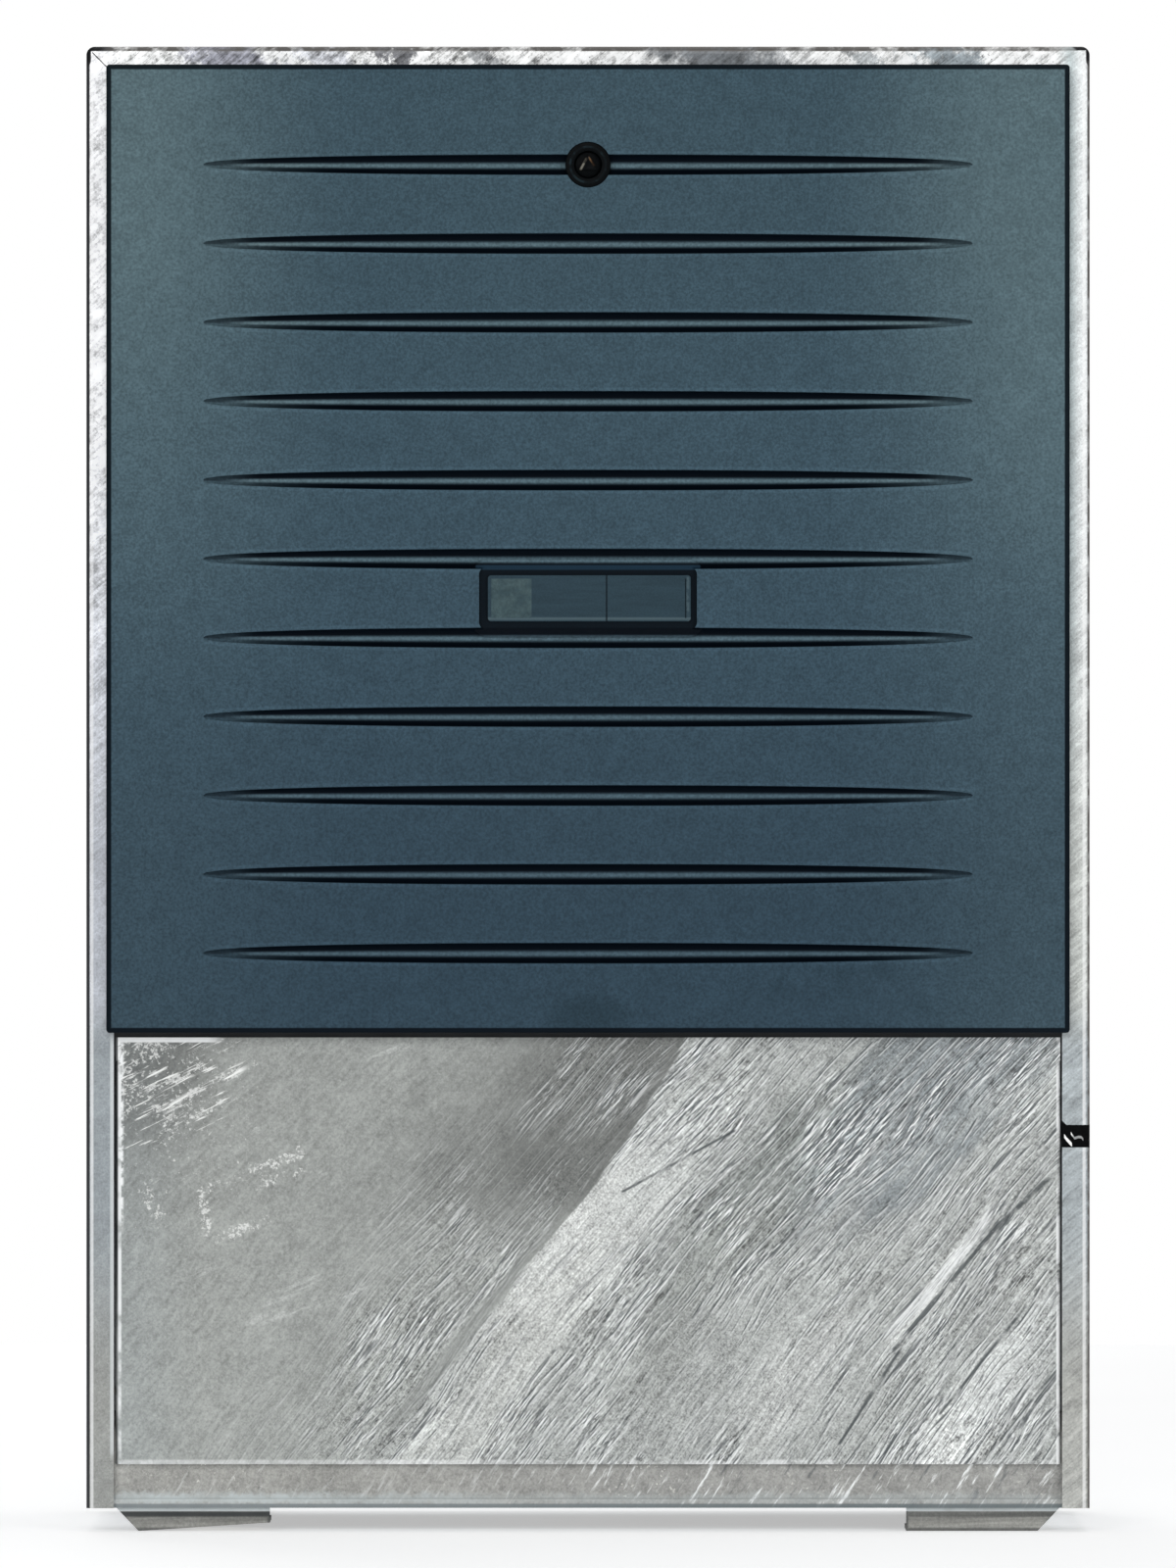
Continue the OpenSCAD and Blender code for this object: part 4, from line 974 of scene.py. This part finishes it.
def settle(piece, body, maker, slot, *nodes):
    """Finishes a piece: material, smooth shading, body and the nodes that it stands for; the slot argument is
    not used.
    """
    select(piece)
    piece.data.materials.clear()
    piece.data.materials.append(finish_of(maker))
    bpy.ops.object.shade_smooth_by_angle(angle=math.radians(35))
    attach(piece, body)
    if nodes:
        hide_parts(*nodes)


def hex_head(name, radius, height, towards, base):
    """A six-sided head with a chamfered crown, standing on base and pointing along Y as towards says."""
    middle = Vector(base) + Vector((0, towards * height / 2, 0))
    crown = base[1] + towards * height
    piece = add_cylinder(name, radius, height, middle, 6)
    choose(piece, "FACE", lambda face: face.normal.y * towards > 0.9)
    bpy.ops.mesh.inset(thickness=radius * 0.16)

    def outer(point):
        off_axis = math.hypot(point.co.x - middle.x, point.co.z - middle.z)
        return off_axis > radius * 0.95 and abs(point.co.y - crown) < 1e-6

    choose(piece, "VERT", outer)
    push(-towards * height * 0.14)
    return round_edges(piece, radius * 0.05, 2, 25)


def solids_of(node):
    """Boxes of the separate solids in a CAD node, each as its lowest and highest corner."""
    mesh = NODES[node].data
    key = [tuple(round(v, 5) for v in vertex.co) for vertex in mesh.vertices]
    parent = {}

    def root(item):
        while parent.setdefault(item, item) != item:
            parent[item] = parent[parent[item]]
            item = parent[item]
        return item

    for face in mesh.polygons:
        corners = [key[v] for v in face.vertices]
        for corner in corners[1:]:
            parent[root(corner)] = root(corners[0])
    groups = {}
    for item in set(key):
        groups.setdefault(root(item), []).append(item)
    boxes = [(Vector(map(min, zip(*points))), Vector(map(max, zip(*points)))) for points in groups.values()]
    return sorted(boxes, key=lambda b: (round(b[0].z, 4), round(b[0].x, 4)))


# Operators


class CABINET_OT_casing(Operator):
    """Finishes the folded casing and its back panel"""
    bl_idname = "cabinet.casing"
    bl_label = "Casing"

    def execute(self, context):
        dress(["casing_shell", "back_panel"], zinc_casing)
        return {"FINISHED"}


class CABINET_OT_frame(Operator):
    """Finishes the rails, sill, hinge lugs, uprights, feet and small steel pieces"""
    bl_idname = "cabinet.frame"
    bl_label = "Frame and feet"

    def execute(self, context):
        dress(matching("hinge_lug", "upright", "cable_rail"), zinc_frame)
        dress(matching("base_rail"), zinc_base)
        dress(["door_sill"], shaded_sill)
        dress(matching("foot_"), zinc_foot)
        dress(matching("hinge_pin", "lock_nut", "lock_cam"), plated_steel)
        dress(["cover_clip"], bright_strip)
        dress(["notch_insert"], black_insert)
        return {"FINISHED"}


class CABINET_OT_cover(Operator):
    """Finishes the lower cover"""
    bl_idname = "cabinet.cover"
    bl_label = "Lower cover"

    def execute(self, context):
        dress(["lower_cover"], zinc_cover)
        return {"FINISHED"}


class CABINET_OT_door(Operator):
    """Finishes the moulded door, its label plate and its card"""
    bl_idname = "cabinet.door"
    bl_label = "Door and label"

    def execute(self, context):
        dress(["door_panel"], moulded_door)
        dress(["label_plate"], label_moulding)
        dress(["label_card"], bare_card)
        return {"FINISHED"}


class CABINET_OT_lock(Operator):
    """Models the lock's recessed head, its core with a three-sided key nose, and the cam's bolt"""
    bl_idname = "cabinet.lock"
    bl_label = "Lock"

    def make_head(self):
        front, back = LOCK_LOW.y, LOCK_HIGH.y
        head, body, recess, bore = (LOCK_HIGH.x - LOCK_LOW.x) / 2, 9.0 * MM, 8.2 * MM, 6.05 * MM
        rim, sunk = 2.6 * MM, 5.0 * MM
        housing = add_cylinder("lock_head", head, rim, (0, front + rim / 2, LOCK_Z), 72)
        choose(housing, "FACE", lambda face: face.normal.y > 0.9)
        bpy.ops.mesh.inset(thickness=head - body)
        extrude(back - front - rim)
        choose_front(housing)
        bpy.ops.mesh.inset(thickness=head - recess)
        extrude(sunk)
        cut(housing, add_cylinder("bore", bore, 60 * MM, (0, back, LOCK_Z), 72))
        round_edges(housing, 0.45 * MM, 3)
        settle(housing, "door", black_lock, "lock_plastic", "lock_housing")

    def make_core(self):
        low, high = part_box("lock_spindle")
        shoulder = LOCK_LOW.y + 4.7 * MM
        collar_front = shoulder - 1.5 * MM
        square_at = high.y - 3.0 * MM
        square = 4.0 * MM
        nose_radius = 11.0 / math.sqrt(3) * MM
        middle = (0, (square_at + shoulder) / 2, LOCK_Z)
        shaft = add_cylinder("lock_core", 6.0 * MM, square_at - shoulder, middle, 64)
        collar = add_cylinder("collar", 7.5 * MM, 1.5 * MM, (0, shoulder - 0.75 * MM, LOCK_Z), 64)
        round_edges(collar, 0.3 * MM)
        middle = (0, (collar_front + low.y) / 2, LOCK_Z)
        nose = add_cylinder("nose", nose_radius, collar_front - low.y, middle, 3)
        if abs(max(nose.data.vertices, key=lambda v: v.co.z).co.x) > 0.1 * MM:
            raise RuntimeError("the key nose doesn't point up")
        choose_front(nose)
        bpy.ops.mesh.inset(thickness=0.9 * MM, depth=0.0)
        push(0.5 * MM)
        round_edges(nose, 0.3 * MM)
        drive = add_box("drive", (-square, square_at, LOCK_Z - square), (square, high.y, LOCK_Z + square))
        round_edges(drive, 0.4 * MM, 1)
        core = join([shaft, collar, nose, drive], "lock_core")
        settle(core, "lock", black_lock, "lock_plastic", "lock_spindle")

    def make_bolt(self):
        low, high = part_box("cam_screw")
        x, z = (low.x + high.x) / 2, (low.z + high.z) / 2
        thick = 1.2 * MM
        washer = add_cylinder("cam_bolt", (high.x - low.x) / 2, thick, (x, low.y + thick / 2, z), 48)
        round_edges(washer, 0.3 * MM)
        bolt = hex_head("cam_hex", 5.7 * MM, high.y - low.y - thick, 1, (x, low.y + thick, z))
        settle(join([washer, bolt], "cam_bolt"), "lock", plated_steel, "bright_steel", "cam_screw")

    def execute(self, context):
        self.make_head()
        self.make_core()
        self.make_bolt()
        return {"FINISHED"}


class CABINET_OT_fuse_gear(Operator):
    """Finishes the bars, insulators, fuse rails and contacts"""
    bl_idname = "cabinet.fuse_gear"
    bl_label = "Bars and fuse rails"

    def execute(self, context):
        dress(matching("busbar_support", "neutral_support"), cast_resin)
        dress([n for n in matching("busbar_", "neutral_bar") if "support" not in n], bare_copper)
        dress(matching("fuse_rail"), rail_moulding)
        dress(matching("rail_contacts"), silvered_contact)
        return {"FINISHED"}


class CABINET_OT_fuse_links(Operator):
    """Models one fuse link, its ceramic body and its metal ends, and copies it to every place"""
    bl_idname = "cabinet.fuse_links"
    bl_label = "Fuse links"

    def make_body(self, x, z, front, back, half):
        body = add_box("fuse_body", (x - 15 * MM, front, z - half), (x + 15 * MM, back, z + half))
        choose(body, "EDGE", lambda edge: True)
        bpy.ops.mesh.bevel(offset=4.0 * MM, segments=5, affect="EDGES")
        choose(body, "FACE", lambda face: face.normal.y < -0.99)
        bpy.ops.mesh.inset(thickness=3.0 * MM)
        push(0.6 * MM)
        return round_edges(body, 0.7 * MM)

    def make_end(self, x, front, back, grip, near, far, tip, side):
        """The end plate, its grip lug, its blade and four rivets, at one end of the link."""
        plate = add_box("plate", (x - 15.5 * MM, front - 0.5 * MM, near),
                        (x + 15.5 * MM, back + 0.5 * MM, far))
        round_edges(plate, 0.35 * MM)
        lug = add_box("lug", (x - 7 * MM, grip, near), (x + 7 * MM, front - 0.5 * MM, far))
        choose_front(lug)
        bpy.ops.mesh.bevel(offset=0.5 * MM, segments=2, affect="EDGES")
        blade = add_box("blade", (x - 3 * MM, back - 20 * MM, far), (x + 3 * MM, back - 2 * MM, tip))
        parts = [plate, lug, round_edges(blade, 0.8 * MM, 3)]
        for dx in (-10.5 * MM, 10.5 * MM):
            for y in (front + 6 * MM, back - 6 * MM):
                head = add_cylinder("rivet", 2.4 * MM, 0.9 * MM, (x + dx, y, far + side * 0.45 * MM), 20, 0)
                parts.append(round_edges(head, 0.35 * MM))
        return parts

    def execute(self, context):
        names = matching("fuse_link")
        low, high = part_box(names[0])
        x, z = (low.x + high.x) / 2, (low.z + high.z) / 2
        front, back = low.y + 7.5 * MM, high.y - 0.5 * MM
        half, plate, reach = 26.5 * MM, 1.5 * MM, (high.z - low.z) / 2
        body = self.make_body(x, z, front, back, half)
        parts = []
        for side in (1, -1):
            near, far, tip = (z + side * height for height in (half, half + plate, reach))
            parts += self.make_end(x, front, back, low.y, near, far, tip, side)
        metal = join(parts, "fuse_ends")
        for name in names:
            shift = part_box(name)[0] - low
            tail = name.removeprefix("fuse_link_")
            settle(copy_to(body, f"fuse_body_{tail}", shift), "cabinet", fired_ceramic, "fuse_ceramic", name)
            settle(copy_to(metal, f"fuse_ends_{tail}", shift), "cabinet", silvered_contact, "contact_metal")
        for model in (body, metal):
            bpy.data.objects.remove(model)
        return {"FINISHED"}


class CABINET_OT_fasteners(Operator):
    """Models a hex bolt, a bolt with washer and a cross-head screw, and copies each to its places"""
    bl_idname = "cabinet.fasteners"
    bl_label = "Fasteners"

    def rail_bolt(self, size):
        length, thick, radius = size.y, 5.5 * MM, 7.5 * MM
        head = hex_head("head", radius, thick, -1, (0, thick, 0))
        shank = add_cylinder("shank", 4.0 * MM, length - thick, (0, (length + thick) / 2, 0), 32)
        round_edges(shank, 0.5 * MM, 1, 60)
        nut = hex_head("nut", radius, 6.5 * MM, 1, (0, length - 8.5 * MM, 0))
        return [head, shank, nut]

    def neutral_bolt(self, size):
        length, thick = size.y, 2.0 * MM
        washer = add_cylinder("washer", size.x / 2, thick, (0, length - thick / 2, 0), 48)
        round_edges(washer, 0.35 * MM)
        head = hex_head("head", 9.0 * MM, length - thick, -1, (0, length - thick, 0))
        return [washer, head]

    def panel_screw(self, size):
        length, thick = size.y, 2.0 * MM
        pan = add_cylinder("pan", size.x / 2, thick, (0, -thick / 2, 0), 36)
        for wide, high in ((2.6 * MM, 0.7 * MM), (0.7 * MM, 2.6 * MM)):
            cut(pan, add_box("slot", (-wide, -1.3 * MM, -high), (wide, 1.0 * MM, high)))
        round_edges(pan, 0.4 * MM, 2, 60)
        shank = add_cylinder("shank", 2.1 * MM, length - thick, (0, -(length + thick) / 2, 0), 24)
        round_edges(shank, 0.4 * MM, 1, 60)
        return [pan, shank]

    def spread(self, node, make, from_rear):
        """One piece made of copies of a fastener, set at the front or rear of each of the node's solids."""
        boxes = solids_of(node)
        model = join(make(boxes[0][1] - boxes[0][0]), "model")
        twins = []
        for number, (low, high) in enumerate(boxes):
            place = ((low.x + high.x) / 2, high.y if from_rear else low.y, (low.z + high.z) / 2)
            twins.append(copy_to(model, f"{node}_{number}", place))
        bpy.data.objects.remove(model)
        settle(join(twins, f"{node}_detail"), "cabinet", plated_steel, "bright_steel", node)

    def execute(self, context):
        self.spread("rail_bolts", self.rail_bolt, False)
        self.spread("neutral_bolts", self.neutral_bolt, False)
        self.spread("back_panel_screws", self.panel_screw, True)
        return {"FINISHED"}


class CABINET_OT_stage(Operator):
    """Makes the pale floor, the soft lights and the camera"""
    bl_idname = "cabinet.stage"
    bl_label = "Stage"

    def add_light(self, name, place, size, power):
        data = bpy.data.lights.new(name, "AREA")
        data.shape = "RECTANGLE"
        data.size, data.size_y = size
        data.energy = power
        lamp = bpy.data.objects.new(name, data)
        lamp.location = place
        towards = Vector((0, 0, 0.46)) - Vector(place)
        lamp.rotation_euler = towards.to_track_quat("-Z", "Y").to_euler()
        lamp.visible_camera = False
        bpy.context.scene.collection.objects.link(lamp)

    def add_world(self, scene, ambient):
        """Soft light from all round, and plain white behind the object."""
        scene.world = bpy.data.worlds.new("studio")
        scene.world.use_nodes = True
        tree = scene.world.node_tree
        tree.nodes.clear()
        output = tree.nodes.new("ShaderNodeOutputWorld")
        choice = tree.nodes.new("ShaderNodeMixShader")
        rays = tree.nodes.new("ShaderNodeLightPath")
        tree.links.new(rays.outputs["Is Camera Ray"], choice.inputs[0])
        for number, colour, strength in ((1, (0.96, 0.98, 1.0, 1), ambient), (2, (1, 1, 1, 1), 1.0)):
            light = tree.nodes.new("ShaderNodeBackground")
            light.inputs["Color"].default_value = colour
            light.inputs["Strength"].default_value = strength
            tree.links.new(light.outputs[0], choice.inputs[number])
        tree.links.new(choice.outputs[0], output.inputs["Surface"])

    def add_camera(self, scene, distance, height):
        eye = bpy.data.cameras.new("camera")
        eye.sensor_width = 36
        eye.lens = eye.sensor_width * distance / height
        eye.clip_end = 200
        camera = bpy.data.objects.new("camera", eye)
        camera.location = (0, CASING_LOW.y - distance, (GROUND_ROW - PICTURE_ROWS / 2) * PIXEL)
        camera.rotation_euler = (math.radians(90), 0, 0)
        scene.collection.objects.link(camera)
        scene.camera = camera

    def execute(self, context):
        scene = context.scene
        setup = scene.cabinet_stage
        deselect()
        bpy.ops.mesh.primitive_circle_add(vertices=96, radius=2.6, fill_type="NGON", location=(0, 0, 0))
        floor = context.object
        floor.name = "studio_floor"
        floor.data.materials.append(finish_of(pale_floor))
        self.add_light("front_light", (-0.9, -5.0, 2.0), (3.2, 2.6), setup.key_power)
        self.add_light("right_light", (2.6, -3.6, 1.3), (1.4, 2.4), setup.key_power * 0.35)
        self.add_light("upper_light", (0.3, 0.4, 4.0), (3.0, 3.0), setup.fill_power)
        self.add_light("rear_light", (-1.5, 4.6, 2.2), (3.0, 2.4), setup.key_power * 0.6)
        self.add_world(scene, setup.ambient)
        self.add_camera(scene, setup.camera_distance, setup.frame_height)
        scene.view_settings.view_transform = "Standard"
        return {"FINISHED"}


OPERATORS = (CABINET_OT_casing, CABINET_OT_frame, CABINET_OT_cover, CABINET_OT_door, CABINET_OT_lock,
             CABINET_OT_fuse_gear, CABINET_OT_fuse_links, CABINET_OT_fasteners, CABINET_OT_stage)


class CABINET_PT_panel(Panel):
    """Lists the steps that finish the cabinet"""
    bl_idname = "CABINET_PT_panel"
    bl_label = "Cabinet"
    bl_space_type = "VIEW_3D"
    bl_region_type = "UI"
    bl_category = "Cabinet"

    def draw(self, context):
        for operator in OPERATORS:
            self.layout.operator(operator.bl_idname)


GROUPS = {"cabinet_colours": CabinetColours, "cabinet_sizes": CabinetSizes, "cabinet_stage": CabinetStage}
CLASSES = (*GROUPS.values(), *OPERATORS, CABINET_PT_panel)


def register():
    for cls in CLASSES:
        bpy.utils.register_class(cls)
    for name, group in GROUPS.items():
        setattr(bpy.types.Scene, name, PointerProperty(type=group))


def unregister():
    for name in GROUPS:
        delattr(bpy.types.Scene, name)
    for cls in reversed(CLASSES):
        bpy.utils.unregister_class(cls)


def main():
    register()
    deselect()
    for operator in OPERATORS:
        area, step = operator.bl_idname.split(".")
        getattr(getattr(bpy.ops, area), step)()


if __name__ == "__main__":
    main()
